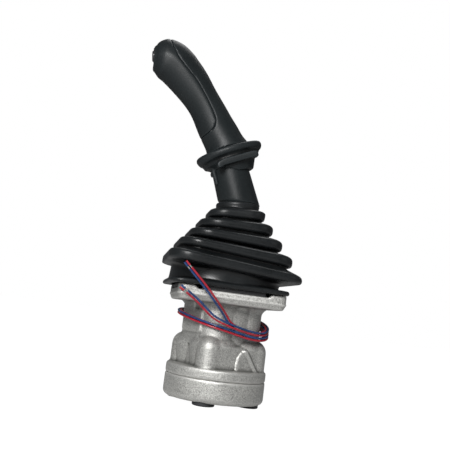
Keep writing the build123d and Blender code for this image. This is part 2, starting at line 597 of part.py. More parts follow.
def stack(points):
    """A closed solid through square sections with rounded corners, straight from one to the next."""
    sections = []
    for half, z, corner in points:
        shift = BOOT_NECK_SHIFT if z > BOOT_TOP_Z - 7.0 - BOOT_WALL else 0.0
        outline = RectangleRounded(2 * half, 2 * half, min(corner, half - 0.05))
        sections.append(Pos(shift, 0, z) * outline)
    return loft(sections, ruled=True)


def boot():
    """Rubber bellows with a flat square lip that lies on the base plate."""
    outer_points = bellows_profile()
    inner_points = inside_of(outer_points, BOOT_WALL)
    first = inner_points[0]
    last = inner_points[-1]
    inner_points[0] = (first[0], PLATE_TOP_Z - 1, first[2])
    inner_points[-1] = (last[0], BOOT_TOP_Z + 1, last[2])
    lip = rounded_slab(BOOT_LIP_HALF, 12.0, PLATE_TOP_Z, LIP_TOP_Z)
    lip = fillet(lip.edges().group_by(Axis.Z)[-1] + lip.edges().group_by(Axis.Z)[0], 1.6)
    return lip + stack(outer_points) - stack(inner_points)


# ---------------------------------------------------------------- handle
def leaning(lean, centre):
    """Frame at a point of the grip's middle plane, Z turned by lean degrees towards -X."""
    return Pos(centre[0], 0, centre[1]) * Rot(0, -lean, 0)


def sleeve_cone(shrink=0.0):
    """The sleeve's taper, run on below its foot so that a level cut can end it."""
    spread = (SLEEVE_FOOT_R - SLEEVE_TOP_R) / SLEEVE_LENGTH
    low = -12.0
    cone = Cone(SLEEVE_FOOT_R - low * spread - shrink, SLEEVE_TOP_R - shrink, SLEEVE_LENGTH - low)
    return leaning(SLEEVE_LEAN, SLEEVE_FOOT) * (Pos(0, 0, (SLEEVE_LENGTH + low) / 2) * cone)


def above(height):
    return Pos(0, 0, height) * Box(300, 300, 400, align=(Align.CENTER, Align.CENTER, Align.MIN))


def rod_path():
    """Line of the lever rod: straight up from the nuts, then bent into the sleeve."""
    up = Vector(-sin(radians(SLEEVE_LEAN)), 0, cos(radians(SLEEVE_LEAN)))
    foot = Vector(SLEEVE_FOOT[0], 0, SLEEVE_FOOT[1])
    meet = foot - up * (foot.X / up.X)
    low = Vector(0, 0, SHANK_TOP_Z)
    tip = foot + up * 72.0
    return FilletPolyline(low, meet, tip, radius=30.0)


def lever_rod():
    path = rod_path()
    rod = sweep(Plane(path @ 0, z_dir=path % 0) * Circle(LEVER_ROD_R), path)
    spigot = round_bar(LEVER_ROD_R - 1.5, DISC_TOP_Z + 4, SHANK_TOP_Z + 1)
    return rod + spigot


def rod_bore(grow=0.0):
    path = rod_path()
    return sweep(Plane(path @ 0, z_dir=path % 0) * Circle(LEVER_ROD_R + grow), path)


def sleeve():
    """Tapered sleeve with a level foot, a spigot inside the bellows' neck and a hub round the rod."""
    foot_z = BOOT_TOP_Z + LOOSE
    outside = sleeve_cone() & above(foot_z)
    hollow = sleeve_cone(2.6) & above(foot_z + 3.0)
    hub = leaning(SLEEVE_LEAN, SLEEVE_FOOT) * round_bar(LEVER_ROD_R + 3.0, 0, SLEEVE_LENGTH)
    ribs = leaning(SLEEVE_LEAN, SLEEVE_FOOT) * (
        Pos(0, 0, SLEEVE_LENGTH / 2) * (Box(2 * SLEEVE_TOP_R, 2.2, SLEEVE_LENGTH)
                                        + Box(2.2, 2 * SLEEVE_TOP_R, SLEEVE_LENGTH)))
    spigot = Pos(BOOT_NECK_SHIFT, 0, 0) * ring(
        BOOT_NECK_R - BOOT_WALL - LOOSE, BOOT_NECK_R - BOOT_WALL - 3.0, BOOT_TOP_Z - 6.0, foot_z)
    return outside - (hollow - hub - ribs) + spigot - rod_bore()


def collar():
    """Oval hand rest: a rolled rim over a shallow dish, with a long raised bar on each side."""
    half_l, half_w = COLLAR_HALF_LENGTH, COLLAR_HALF_WIDTH
    rim = extrude(Ellipse(half_l, half_w), COLLAR_RIM_H)
    rim = fillet(rim.edges(), 2.6)
    neck_l, neck_w = 20.5, 20.0
    dish = loft([Pos(0, 0, 1.5) * Ellipse(half_l - 3.0, half_w - 3.0),
                 Pos(0, 0, -9.0) * Ellipse(neck_l + 2.0, neck_w + 0.6),
                 Pos(0, 0, -18.0) * Ellipse(SLEEVE_TOP_R + 0.6, SLEEVE_TOP_R + 0.6)], ruled=True)
    body = rim + dish
    for side in (-1, 1):
        bar = Pos(1.0, side * (neck_w + 1.6), -6.0) * Box(41.0, 7.0, 6.2)
        bar = fillet(bar.edges().filter_by(Axis.Y), 2.6)
        body += bar
    hook = Pos(-neck_l - 0.6, -6.0, -14.5) * Box(4.6, 7.0, 17.0)
    body += fillet(hook.edges().filter_by(Axis.Y), 1.6)
    body = leaning(COLLAR_LEAN, COLLAR_CENTRE) * body
    return body - sleeve_cone() - rod_bore()


# Sections of the grip: centre X and Z, lean of the grip's axis, half width in the XZ plane, half depth in Y
GRIP_SECTIONS = [
    (-15.6, 235.2, 25, 22.0, 20.0),
    (-25.2, 250.0, 27, 19.0, 17.5),
    (-36.9, 268.5, 32, 18.0, 16.5),
    (-56.0, 292.4, 40, 19.4, 16.8),
    (-69.6, 308.0, 51, 22.2, 17.6),
    (-82.4, 316.6, 76, 22.4, 17.4),
    (-92.6, 317.8, 93, 20.0, 15.4),
    (-99.4, 317.6, 96, 13.4, 11.0),
]
GRIP_END_DEPTH = 2.4


def grip_solid(inset=0.0):
    """The grip's outside, or the same form moved inwards by inset."""
    sections = []
    for x, z, lean, half_w, half_d in GRIP_SECTIONS:
        outline = Ellipse(half_w - inset, half_d - inset)
        sections.append(leaning(lean, (x, z)) * outline)
    if inset:
        return loft(sections)
    x, z, lean, half_w, half_d = GRIP_SECTIONS[-1]
    cap = leaning(lean, (x, z)) * extrude(Ellipse(half_w, half_d), GRIP_END_DEPTH, taper=30)
    return loft(sections) + cap


def seam_prism(grow=0.0):
    """Everything on the thumb side of the joint line between the two grip halves."""
    line = Spline((-86.0, 345.0), (-77.0, 322.0), (-56.0, 297.0), (-42.6, 279.2), (-33.0, 262.5))
    corner = Spline((-33.0, 262.5), (-32.0, 254.0), (-44.0, 241.0),
                    tangents=[(0.5, -1), (-1.0, -0.55)])
    back = Polyline((-44.0, 241.0), (-80.0, 225.0), (-130.0, 260.0), (-130.0, 345.0), (-86.0, 345.0))
    region = make_face(Plane.XZ * Wire([*line.edges(), *corner.edges(), *back.edges()]))
    return extrude(region, 60, both=True)


def switch_frame():
    """Frame on the button's axis: Z points out of the head, zero at its face."""
    return Pos(BUTTON_FACE[0], 0, BUTTON_FACE[1]) * Rot(0, -BUTTON_LEAN, 0)


GUIDE_DEPTH = 11.0


def grip_shells():
    """The two moulded halves of the grip."""
    outside = grip_solid()
    hollow = grip_solid(GRIP_WALL)
    shell = outside - hollow
    floor = outside & leaning(COLLAR_LEAN, COLLAR_CENTRE) * round_bar(40, COLLAR_RIM_H, COLLAR_RIM_H + 4)
    shell = shell - leaning(COLLAR_LEAN, COLLAR_CENTRE) * round_bar(60, -40, COLLAR_RIM_H)
    socket = switch_frame() * round_bar(BUTTON_GUIDE_R, -30, 10)
    shell -= socket
    prism = seam_prism()
    cover = shell & prism
    rear = shell - prism + (floor - prism)
    return rear - rod_bore(), cover


def button_guide():
    """Bezel that fills the hole in the head and guides the button."""
    guide = round_bar(BUTTON_GUIDE_R, -GUIDE_DEPTH, 0.4)
    guide = fillet(guide.edges().group_by(Axis.Z)[-1], 0.35)
    guide -= round_bar(BUTTON_R + RUN_CLEARANCE, -6.0, 2)
    guide -= round_bar(2.5, -GUIDE_DEPTH - 1, -5)
    return switch_frame() * guide


def horn_button():
    cap = round_bar(BUTTON_R, -4.0, BUTTON_PROUD)
    cap = fillet(cap.edges().group_by(Axis.Z)[-1], 1.2)
    cap += round_bar(2.0, -GUIDE_DEPTH - 2.0, -3.5)
    return switch_frame() * cap


def switch_body():
    """Contact block behind the button."""
    block = round_bar(6.8, -GUIDE_DEPTH - 12.0, -GUIDE_DEPTH)
    block -= round_bar(3.4, -GUIDE_DEPTH - 5.5, -GUIDE_DEPTH + 1)
    for side in (-1, 1):
        block += Pos(0, side * 3.0, -GUIDE_DEPTH - 14.0) * Box(1.0, 2.6, 5.0)
    return switch_frame() * block


def button_spring():
    return switch_frame() * coil_spring(3.6, 0.35, -6.0, -4.0, 2)


# ---------------------------------------------------------------- write the nodes
def wire_points(name):
    """The route of one wire: straight out of the grommet, down, round the neck and out to its free end."""
    place_x, layer, row, free_end = WIRES[name]
    bend_y = GROMMET_FACE_Y + 6.0 + WIRE_PITCH * (layer + 1) / 2
    points = [Vector(place_x, GROMMET_FACE_Y, GROMMET_Z), Vector(place_x, bend_y, GROMMET_Z - 0.2)]
    middle = [Vector(0, bend_y, GROMMET_Z)]
    middle += [Vector(r * cos(radians(a)), r * sin(radians(a)), z) for a, r, z in BUNDLE_ROUTE]
    on_neck = len(middle)
    middle += [Vector(*place) for place in free_end]
    for i in range(1, len(middle)):
        onwards = middle[min(i + 1, len(middle) - 1)] - middle[i - 1]
        outwards = Vector(middle[i].X, middle[i].Y, 0)
        upwards = onwards.cross(outwards).normalized()
        point = middle[i] + upwards * (row * WIRE_PITCH / 2)
        if i < on_neck:
            point += upwards.cross(onwards).normalized() * (layer * WIRE_PITCH / 2)
        points.append(point)
    return points


def wire_line(points):
    """Straight runs joined by arcs as large as the runs allow."""
    radii = []
    for before, here, after in zip(points, points[1:], points[2:]):
        first, second = here - before, after - here
        half_turn = radians(first.get_angle(second)) / 2
        radii.append(0.45 * min(first.length, second.length) / tan(half_turn))
    return FilletPolyline(*points, radius=radii), radii


def wire(name):
    points = wire_points(name)
    line, radii = wire_line(points)
    print(f"{name}: {line.length:.0f} mm long, tightest bend {min(radii):.1f} mm")
    return sweep(Plane(origin=line @ 0, z_dir=line % 0) * Circle(WIRE_R), path=line)


def wire_end(name, radius, start, length):
    """A straight piece on a wire's free end, from start to start + length past the insulation's end."""
    last = wire_points(name)[-2:]
    direction = (last[1] - last[0]).normalized()
    return extrude(Plane(origin=last[1] + direction * start, z_dir=direction) * Circle(radius), length)


def bare_strands():
    return Compound(children=[wire_end(name, STRAND_R, 0, STRAND_LENGTH) for name in WIRES])


def slugs(colour):
    return Compound(children=[wire_end(name, WIRE_R, STRAND_LENGTH, SLUG_LENGTH)
                              for name in WIRES if name.startswith(colour)])


def wire_grommet():
    """Rubber block in the base plate's rear notch, under the boot's lip. The wires come out of it."""
    block = Pos(0, GROMMET_FACE_Y - GROMMET_DEPTH / 2, GROMMET_Z) * Box(
        2 * GROMMET_HALF_X, GROMMET_DEPTH, EAR_H - 0.2)
    return fillet(block.edges().filter_by(Axis.Y), 0.8)


save("port_block", port_block())
save("block_seals", block_seals())
save("block_screws", block_screws())
save("port_plugs", port_plugs())
save("casing", casing())
save("mounting_flange", bored(flange()))
save("rod_guides", Compound(children=at_pattern(rod_guide(), ROD_PITCH_R)))
save("guide_seals", Compound(children=at_pattern(guide_seal(), ROD_PITCH_R)))
save("rod_wipers", Compound(children=at_pattern(rod_wiper(), ROD_PITCH_R)))
save("base_plate", base_plate())
save("plate_screws", plate_screws())
save("joint_base", joint_base())
save("lower_bushes", joint_bushes(0))
save("joint_cross", joint_cross())
save("upper_bushes", joint_bushes(90))
save("upper_fork", upper_fork())
save("swash_disc", swash_disc())
save("adjusting_nut", hex_nut(DISC_TOP_Z, NUT_H, 24.0))
save("lock_nut", hex_nut(DISC_TOP_Z + NUT_H, NUT_H, 22.0))
for n in range(4):
    save(f"push_rod_{n + 1}", at_pattern(push_rod(), ROD_PITCH_R, (n,))[0])
    save(f"spring_seat_{n + 1}", at_pattern(spring_seat(), ROD_PITCH_R, (n,))[0])
    save(f"spool_{n + 1}", at_pattern(spool(), ROD_PITCH_R, (n,))[0])
    return_spring = coil_spring(8.6, 0.8, CHAMBER_FLOOR_Z, SEAT_Z, 4)
    save(f"return_spring_{n + 1}", at_pattern(return_spring, ROD_PITCH_R, (n,))[0])
    metering_spring = coil_spring(3.2, 0.55, CHAMBER_FLOOR_Z + 2.0, TUBE_FOOT_Z, 4)
    save(f"metering_spring_{n + 1}", at_pattern(metering_spring, ROD_PITCH_R, (n,))[0])
save("boot", boot())
save("lever_rod", lever_rod())
save("sleeve", sleeve())
save("collar", collar())
rear_half, front_half = grip_shells()
save("grip_shell", rear_half)
save("grip_cover", front_half)
save("button_guide", button_guide())
save("horn_button", horn_button())
save("switch_body", switch_body())
save("button_spring", button_spring())
save("wire_grommet", wire_grommet())
for wire_name in WIRES:
    save(wire_name, wire(wire_name))
save("bare_strands", bare_strands())
save("red_slugs", slugs("red"))
save("blue_slugs", slugs("blue"))
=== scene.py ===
# %% [markdown]
# # Dressing a hydraulic pilot joystick valve
#
# A pilot joystick is the lever that an excavator's driver holds. Under a square rubber bellows, a tilting
# disc pushes four little plungers, and each plunger lets oil pressure out to one function of the machine.
# The construction is already made as solids. This script loads them as a fixed frame and dresses them:
# cast aluminium that looks poured, rubber that looks moulded, a grip with soft edges, and four thin wires.
#
# Everything is in metres, with +Z up along the valve, and the grip bending towards -X.

# %% Load the solids
import json
from math import cos, exp, pi, radians, sin

import bmesh
import bpy
from mathutils import Matrix, Vector


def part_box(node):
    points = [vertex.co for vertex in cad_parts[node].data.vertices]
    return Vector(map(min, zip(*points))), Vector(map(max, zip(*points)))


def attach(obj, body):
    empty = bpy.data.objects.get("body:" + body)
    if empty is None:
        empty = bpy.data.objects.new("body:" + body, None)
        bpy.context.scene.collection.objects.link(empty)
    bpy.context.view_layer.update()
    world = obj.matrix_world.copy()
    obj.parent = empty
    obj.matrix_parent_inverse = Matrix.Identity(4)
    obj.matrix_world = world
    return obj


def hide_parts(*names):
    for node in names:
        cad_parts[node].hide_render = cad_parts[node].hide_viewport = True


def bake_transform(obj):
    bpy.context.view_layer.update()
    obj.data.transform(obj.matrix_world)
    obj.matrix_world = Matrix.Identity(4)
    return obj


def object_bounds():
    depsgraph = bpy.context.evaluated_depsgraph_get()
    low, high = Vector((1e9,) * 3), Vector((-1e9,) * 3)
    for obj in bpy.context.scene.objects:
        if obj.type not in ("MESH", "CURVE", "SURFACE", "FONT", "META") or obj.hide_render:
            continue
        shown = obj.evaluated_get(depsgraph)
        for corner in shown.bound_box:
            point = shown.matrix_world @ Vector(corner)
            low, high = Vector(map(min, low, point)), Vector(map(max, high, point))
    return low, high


MM = 0.001

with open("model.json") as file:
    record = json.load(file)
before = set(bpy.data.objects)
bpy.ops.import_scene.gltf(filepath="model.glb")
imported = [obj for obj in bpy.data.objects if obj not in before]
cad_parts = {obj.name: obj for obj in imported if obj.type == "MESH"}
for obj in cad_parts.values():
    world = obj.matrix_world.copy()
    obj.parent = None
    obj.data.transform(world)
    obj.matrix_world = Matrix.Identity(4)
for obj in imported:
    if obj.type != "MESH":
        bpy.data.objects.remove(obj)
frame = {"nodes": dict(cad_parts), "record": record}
nodes = frame["nodes"]
cad_low, cad_high = [list(corner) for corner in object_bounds()]
print("solids:", len(nodes), "box", cad_low, cad_high)

# %% [markdown]
# ## The camera
#
# A product view is a choice of four things: where the camera stands, what it aims at, how long its lens
# is, and how far it is rolled. Here it stands a little below the middle of the lever, so the folds of the
# bellows are seen slightly from underneath, and it is rolled by a few degrees, so the valve leans in the
# frame. The rotation is built from the viewing direction first, and the roll is added about that direction.

# %% Camera
VIEW_AZIMUTH = radians(-9.2)
VIEW_DISTANCE = 0.604
VIEW_HEIGHT = 0.0763
AIM_SIDE = -0.0084
AIM_HEIGHT = 0.1621
ROLL = radians(7.23)
LENS = 50.8

stand = Vector((sin(VIEW_AZIMUTH), -cos(VIEW_AZIMUTH), 0.0)) * VIEW_DISTANCE + Vector((0, 0, VIEW_HEIGHT))
aim = Vector((cos(VIEW_AZIMUTH), sin(VIEW_AZIMUTH), 0.0)) * AIM_SIDE + Vector((0, 0, AIM_HEIGHT))

camera_data = bpy.data.cameras.new("product_camera")
camera_data.lens = LENS
camera_data.sensor_width = 36.0
camera_data.clip_start = 0.01
camera = bpy.data.objects.new("product_camera", camera_data)
bpy.context.scene.collection.objects.link(camera)
turn = (aim - stand).to_track_quat("-Z", "Y").to_matrix() @ Matrix.Rotation(ROLL, 3, "Z")
camera.matrix_world = Matrix.Translation(stand) @ turn.to_4x4()
bpy.context.scene.camera = camera
print("camera at", [round(value, 3) for value in stand])

# %% [markdown]
# ## Two helpers
#
# Every new piece ends the same way: its bmesh becomes a mesh, and the mesh an object at the origin. Most of
# the objects then ride on one body of the mechanism. A second helper turns modifiers into plain mesh, by
# asking the dependency graph for the evaluated result.


# %% Helpers for pieces
def piece_from(bm, name):
    """Write a bmesh to a new object at the origin, smooth shaded."""
    mesh = bpy.data.meshes.new(name)
    bm.to_mesh(mesh)
    bm.free()
    mesh.shade_smooth()
    piece = bpy.data.objects.new(name, mesh)
    bpy.context.scene.collection.objects.link(piece)
    return piece


def bake_modifiers(piece):
    """Replace the piece's mesh by what its modifiers make of it."""
    graph = bpy.context.evaluated_depsgraph_get()
    mesh = bpy.data.meshes.new_from_object(piece.evaluated_get(graph))
    piece.modifiers.clear()
    piece.data = mesh
    mesh.shade_smooth()


# %% [markdown]
# ## The button wires
#
# Two pairs of thin insulated wires come out of a grommet at the back, hang down behind the flange, and
# are wound one and a half times round the fluted neck. Their stripped ends spring up at the front.
#
# A thin wire bends in long smooth curves, so each one is a tube round a single NURBS spline. The bundle's
# middle is a list of points given as an angle, a distance from the axis and a height, and each wire keeps
# its own place in the bundle: inner or outer layer, upper or lower row. Two cross products give the
# directions of "up" and "out" at each point, so the four wires stay side by side while the bundle turns.

# %% The route of the bundle
WIRE_D = 1.8 * MM
WIRE_PITCH = 2.2 * MM
GROMMET_FACE_Y = 49.2 * MM
GROMMET_Z = 98.5 * MM
BUNDLE_ROUTE = [
    (90, 61.5, 92.0), (86, 61.0, 84.0), (76, 57.5, 76.5), (61, 50.5, 72.6), (44, 44.5, 71.2),
    (26, 41.4, 69.8), (8, 41.6, 67.6), (-8, 43.6, 63.9), (-24, 43.6, 60.2), (-42, 41.5, 58.6),
    (-62, 39.2, 59.8), (-84, 38.6, 63.0), (-107, 40.3, 66.2), (-130, 39.4, 69.3), (-153, 39.4, 72.3),
    (-176, 41.4, 75.0), (-199, 41.4, 77.0), (-222, 39.2, 78.4), (-246, 38.5, 79.0), (-270, 39.4, 78.4),
    (-292, 40.6, 77.2), (-313, 40.3, 76.2), (-334, 40.4, 74.9), (-352, 41.5, 72.5), (-368, 43.5, 68.8),
    (-384, 43.4, 65.0), (-402, 41.2, 63.2), (-422, 39.8, 64.5), (-446, 40.4, 68.0)]
UPPER_PAIR = [(-5.6, -43.6, 78.2), (-15.5, -52.8, 87.6), (-26.6, -57.6, 98.8), (-41.9, -60.8, 112.6)]
LOWER_PAIR = [(-13.6, -46.2, 72.8), (-23.9, -51.0, 80.4), (-32.7, -52.4, 87.6), (-41.5, -52.4, 93.0)]
WIRES = {
    "red_wire_1": (3.4, -1, 1, UPPER_PAIR, 0.472),
    "blue_wire_1": (-3.4, -1, -1, UPPER_PAIR, 0.476),
    "blue_wire_2": (1.15, 1, 1, LOWER_PAIR, 0.480),
    "red_wire_2": (-1.15, 1, -1, LOWER_PAIR, 0.484),
}


def wire_points(place_x, layer, row, free_end):
    """The control points of one wire, from the grommet to its stripped end."""
    bend_y = GROMMET_FACE_Y + 6.0 * MM + WIRE_PITCH * (layer + 1) / 2
    points = [Vector((place_x * MM, GROMMET_FACE_Y, GROMMET_Z)),
              Vector((place_x * MM, bend_y, GROMMET_Z - 0.2 * MM))]
    middle = [Vector((0, bend_y, GROMMET_Z))]
    middle += [Vector((r * cos(radians(a)), r * sin(radians(a)), z)) * MM for a, r, z in BUNDLE_ROUTE]
    on_neck = len(middle)
    middle += [Vector(place) * MM for place in free_end]
    for i in range(1, len(middle)):
        onwards = middle[min(i + 1, len(middle) - 1)] - middle[i - 1]
        outwards = Vector((middle[i].x, middle[i].y, 0))
        upwards = onwards.cross(outwards).normalized()
        point = middle[i] + upwards * (row * WIRE_PITCH / 2)
        if i < on_neck:
            point += upwards.cross(onwards).normalized() * (layer * WIRE_PITCH / 2)
        points.append(point)
    return points


# %% A tube along a spline
def tube_along(name, points, radius):
    """A smooth NURBS tube through the control points, as a mesh, and the centreline that it follows."""
    curve = bpy.data.curves.new(name, "CURVE")
    curve.dimensions = "3D"
    curve.resolution_u = 6
    curve.bevel_resolution = 3
    curve.use_fill_caps = True
    spline = curve.splines.new("NURBS")
    spline.points.add(len(points) - 1)
    for place, point in zip(spline.points, points):
        place.co = (*point, 1.0)
    spline.order_u = 3
    spline.use_endpoint_u = True
    line = bpy.data.objects.new(name, curve)
    bpy.context.scene.collection.objects.link(line)
    graph = bpy.context.evaluated_depsgraph_get()
    bare_line = bpy.data.meshes.new_from_object(line.evaluated_get(graph))
    centreline = [vert.co.copy() for vert in bare_line.vertices]
    curve.bevel_depth = radius
    graph = bpy.context.evaluated_depsgraph_get()
    mesh = bpy.data.meshes.new_from_object(line.evaluated_get(graph))
    bpy.data.objects.remove(line)
    mesh.shade_smooth()
    tube = bpy.data.objects.new(name, mesh)
    bpy.context.scene.collection.objects.link(tube)
    return tube, centreline


# %% Four wires
wire_pieces = {}
for name, (place_x, layer, row, free_end, length) in WIRES.items():
    points = wire_points(place_x, layer, row, free_end)
    wire, centreline = tube_along(name + "_insulation", points, WIRE_D / 2)
    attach(wire, "valve")
    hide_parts(name)
    wire_pieces[name] = wire
print("wires:", list(wire_pieces))

# %% [markdown]
# ## The aluminium casting
#
# The body is sand-cast: it has no sharp edge anywhere, because sand can't hold one, and its forms run into
# each other in soft hollows. A founder's pattern is built up from simple turned and planed pieces of wood,
# and its corners are filled with wax. The same is done here: turned bars and blocks are put together, a
# voxel remesh melts them into one skin, and a few rounds of relaxing round the corners like the wax.
#
# A turned bar is a stack of circles of (radius, height), bridged one to the next and capped.

# %% Pattern pieces
PATTERN_TURN = -22.0          # the front plunger's direction, from -Y, in degrees
FRONT = 270.0 + PATTERN_TURN
PLUNGERS = [FRONT + 90.0 * number for number in range(4)]
PANEL_SIDE = FRONT - 45.0
GUSSET_SIDE = FRONT + 45.0


def turned_bar(bm, profile, angle=0.0, pitch=0.0, segments=48):
    """A closed bar turned on a vertical axis, from (radius, height) in millimetres."""
    middle = Vector((cos(radians(angle)), sin(radians(angle)), 0)) * pitch
    below = None
    for radius, height in profile:
        ring = bmesh.ops.create_circle(bm, segments=segments, radius=radius * MM)["verts"]
        bmesh.ops.translate(bm, verts=ring, vec=(middle + Vector((0, 0, height))) * MM)
        loop = list({edge for vert in ring for edge in vert.link_edges})
        if below:
            bmesh.ops.bridge_loops(bm, edges=below + loop)
        else:
            bmesh.ops.contextual_create(bm, geom=loop)
        below = loop
    bmesh.ops.contextual_create(bm, geom=below)


def pushed_outline(bm, corners, push, side):
    """A flat face through the corners, pushed into a solid and turned to one side of the square."""
    face = bm.faces.new(corners)
    grown = bmesh.ops.extrude_face_region(bm, geom=[face])["geom"]
    ends = [item for item in grown if isinstance(item, bmesh.types.BMVert)]
    bmesh.ops.translate(bm, verts=ends, vec=push)
    facing = Matrix.Rotation(radians(side), 3, "Z")
    bmesh.ops.rotate(bm, verts=corners + ends, cent=(0, 0, 0), matrix=facing)


def planed_block(bm, side, outline, left, right):
    """A block with an outline of (distance from the axis, height), planed along one side of the square."""
    corners = [bm.verts.new((out * MM, left * MM, height * MM)) for out, height in outline]
    pushed_outline(bm, corners, (0, (right - left) * MM, 0), side)


def raised_boss(bm, side, outline, foot, top):
    """A flat boss with an outline of (place along the side, height), raised from foot to top distance."""
    corners = [bm.verts.new((foot * MM, along * MM, height * MM)) for along, height in outline]
    pushed_outline(bm, corners, ((top - foot) * MM, 0, 0), side)


# %% [markdown]
# The round foot stands on the port block. Over it is a square body whose corners are four tall bulges with
# domed tops, one round each service passage. The neck has a lobe round each plunger bore and flares into
# the flange. One side of the square carries a triangular gusset, the next a deep panel under a ledge, and
# the other two repeat them.

# %% The founder's pattern
FOOT = [(45.7, 20.1), (46.5, 20.9), (46.5, 27.8), (46.1, 28.9), (44.8, 29.4)]
BULGE_R, BULGE_PITCH, BULGE_BEND_Z = 11.4, 33.5, 46.0
BULGE = [(BULGE_R, 24.0)] + [(BULGE_R * cos(radians(a)), BULGE_BEND_Z + BULGE_R * sin(radians(a)))
                             for a in range(0, 90, 11)]
LOBE = [(19.0, 24.0), (22.4, 49.0), (20.6, 52.6), (18.3, 55.4), (18.0, 58.0), (18.0, 80.4), (19.0, 83.4),
        (21.6, 86.0), (24.0, 87.4), (24.0, 89.5)]
LOBE_PITCH = 18.7
CORE = [(12.0, 24.0), (31.4, 24.0), (31.4, 82.0), (33.0, 85.6), (33.0, 89.5)]
GUSSET_WALL = [(0, 26), (34.8, 26), (34.8, 48.6), (33.4, 50.2), (0, 50.2)]
GUSSET_WEB = [(-2.0, 28), (-2.4, 35), (-1.0, 41), (1.4, 45), (4.4, 47.8), (6.6, 47.8), (20.4, 28)]
GUSSET_RIDGE = [(3.6, 48.4), (7.2, 48.6), (22.0, 28), (18.8, 28)]
PANEL_WALL = [(0, 26), (27.6, 26), (27.6, 50), (0, 50)]
PANEL_LEDGE = [(20, 48.6), (33.4, 48.6), (33.6, 50.6), (31.6, 58.8), (20, 60.0)]
NECK_PAD = [(20, 60.0), (32.8, 60.0), (32.8, 78.6), (20, 78.6)]
PAD_TOP = [(20, 78.0), (32.8, 78.0), (33.6, 88.0), (20, 88.0)]

# %% Put the pattern together
LOOSE_CORNERS = 0.002 * MM      # a solid's triangles don't share their corners until they are merged

bm = bmesh.new()
bm.from_mesh(nodes["mounting_flange"].data)
bmesh.ops.remove_doubles(bm, verts=bm.verts, dist=LOOSE_CORNERS)
turned_bar(bm, FOOT, segments=96)
turned_bar(bm, CORE, segments=96)
for angle in PLUNGERS:
    turned_bar(bm, LOBE, angle, LOBE_PITCH)
    turned_bar(bm, BULGE, angle, BULGE_PITCH)
for side in (GUSSET_SIDE, GUSSET_SIDE + 180):
    planed_block(bm, side, GUSSET_WALL, -23.3, 23.3)
    raised_boss(bm, side, GUSSET_WEB, 33.0, 36.4)
    raised_boss(bm, side, GUSSET_RIDGE, 33.0, 37.6)
for side in (PANEL_SIDE, PANEL_SIDE + 180):
    planed_block(bm, side, PANEL_WALL, -25.0, 25.0)
    planed_block(bm, side, PANEL_LEDGE, -14.0, 14.0)
planed_block(bm, PANEL_SIDE, NECK_PAD, -17.0, 17.2)
planed_block(bm, PANEL_SIDE, PAD_TOP, -17.0, 3.0)
bmesh.ops.recalc_face_normals(bm, faces=bm.faces)
body_casting = piece_from(bm, "body_casting")
print("pattern pieces:", len(body_casting.data.polygons), "faces")


# %% [markdown]
# The plunger bores are drilled after casting. A Boolean modifier takes a cutter made of stepped bars away
# from the melted skin: a guide seat, a spring chamber and a spool bore for each plunger, the thread of the
# joint's stem in the middle, and two holes for the screws that hold the port block.

# %% Melt and relax
def melt(piece, voxel):
    """Melt everything in the piece into one skin of small squares."""
    remesh = piece.modifiers.new("melted squares", "REMESH")
    remesh.mode = "VOXEL"
    remesh.voxel_size = voxel
    bake_modifiers(piece)


def smooth_rounds(bm, rounds):
    """Move every point halfway to the middle of its neighbours, so many times."""
    axes = {"use_axis_x": True, "use_axis_y": True, "use_axis_z": True}
    for _ in range(rounds):
        bmesh.ops.smooth_vert(bm, verts=bm.verts, factor=0.5, **axes)


def relax(piece, rounds):
    """Round the piece's corners."""
    bm = bmesh.new()
    bm.from_mesh(piece.data)
    smooth_rounds(bm, rounds)
    bm.to_mesh(piece.data)
    bm.free()
    piece.data.shade_smooth()


def measure_relief(piece, rounds, span):
    """Store how far each point stands out of its smoothed surroundings: 0 a hollow, 0.5 flat, 1 an edge."""
    bm = bmesh.new()
    bm.from_mesh(piece.data)
    smooth_rounds(bm, rounds)
    relief = piece.data.attributes.new("relief", "FLOAT", "POINT")
    for vert, calm in zip(piece.data.vertices, bm.verts):
        proud = (vert.co - calm.co).dot(vert.normal)
        relief.data[vert.index].value = min(max(0.5 + proud / span, 0.0), 1.0)
    bm.free()


# %% Drill the bores
VOXEL_CAST = 0.9 * MM
BORE_PITCH, JOINT_STEM_R = 21.0, 6.6
SCREW_HOLE_R, SCREW_PITCH = 4.7, 24.5
BORE = [(5.2, 18.0), (5.2, 51.6), (11.2, 51.7), (11.2, 82.6), (12.1, 82.7), (12.1, 101.0)]
melt(body_casting, VOXEL_CAST)
relax(body_casting, 3)
bm = bmesh.new()
for angle in PLUNGERS:
    turned_bar(bm, BORE, angle, BORE_PITCH)
turned_bar(bm, [(JOINT_STEM_R, 80.0), (JOINT_STEM_R, 101.0)])
for angle in (FRONT + 135, FRONT + 315):
    turned_bar(bm, [(SCREW_HOLE_R, 18.0), (SCREW_HOLE_R, 36.5)], angle, SCREW_PITCH)
bmesh.ops.recalc_face_normals(bm, faces=bm.faces)
drills = piece_from(bm, "drills")
drilled = body_casting.modifiers.new("drilled", "BOOLEAN")
drilled.operation = "DIFFERENCE"
drilled.solver = "EXACT"
drilled.object = drills
bake_modifiers(body_casting)
bpy.data.objects.remove(drills)

# %% [markdown]
# The mould opens along a line round the flange. Below that line the sand needs draft, so the lower half of
# the flange's edge leans inwards, and the line itself catches the light.

# %% Draft below the parting line
PARTING_Z = 91.6 * MM
DRAFT_SLOPE, DRAFT_REACH, DRAFT_FOOT_Z = 0.34, 44 * MM, 80 * MM
RIDGE_PROUD, RIDGE_REACH, RIDGE_HALF = 0.35 * MM, 46 * MM, 0.8 * MM

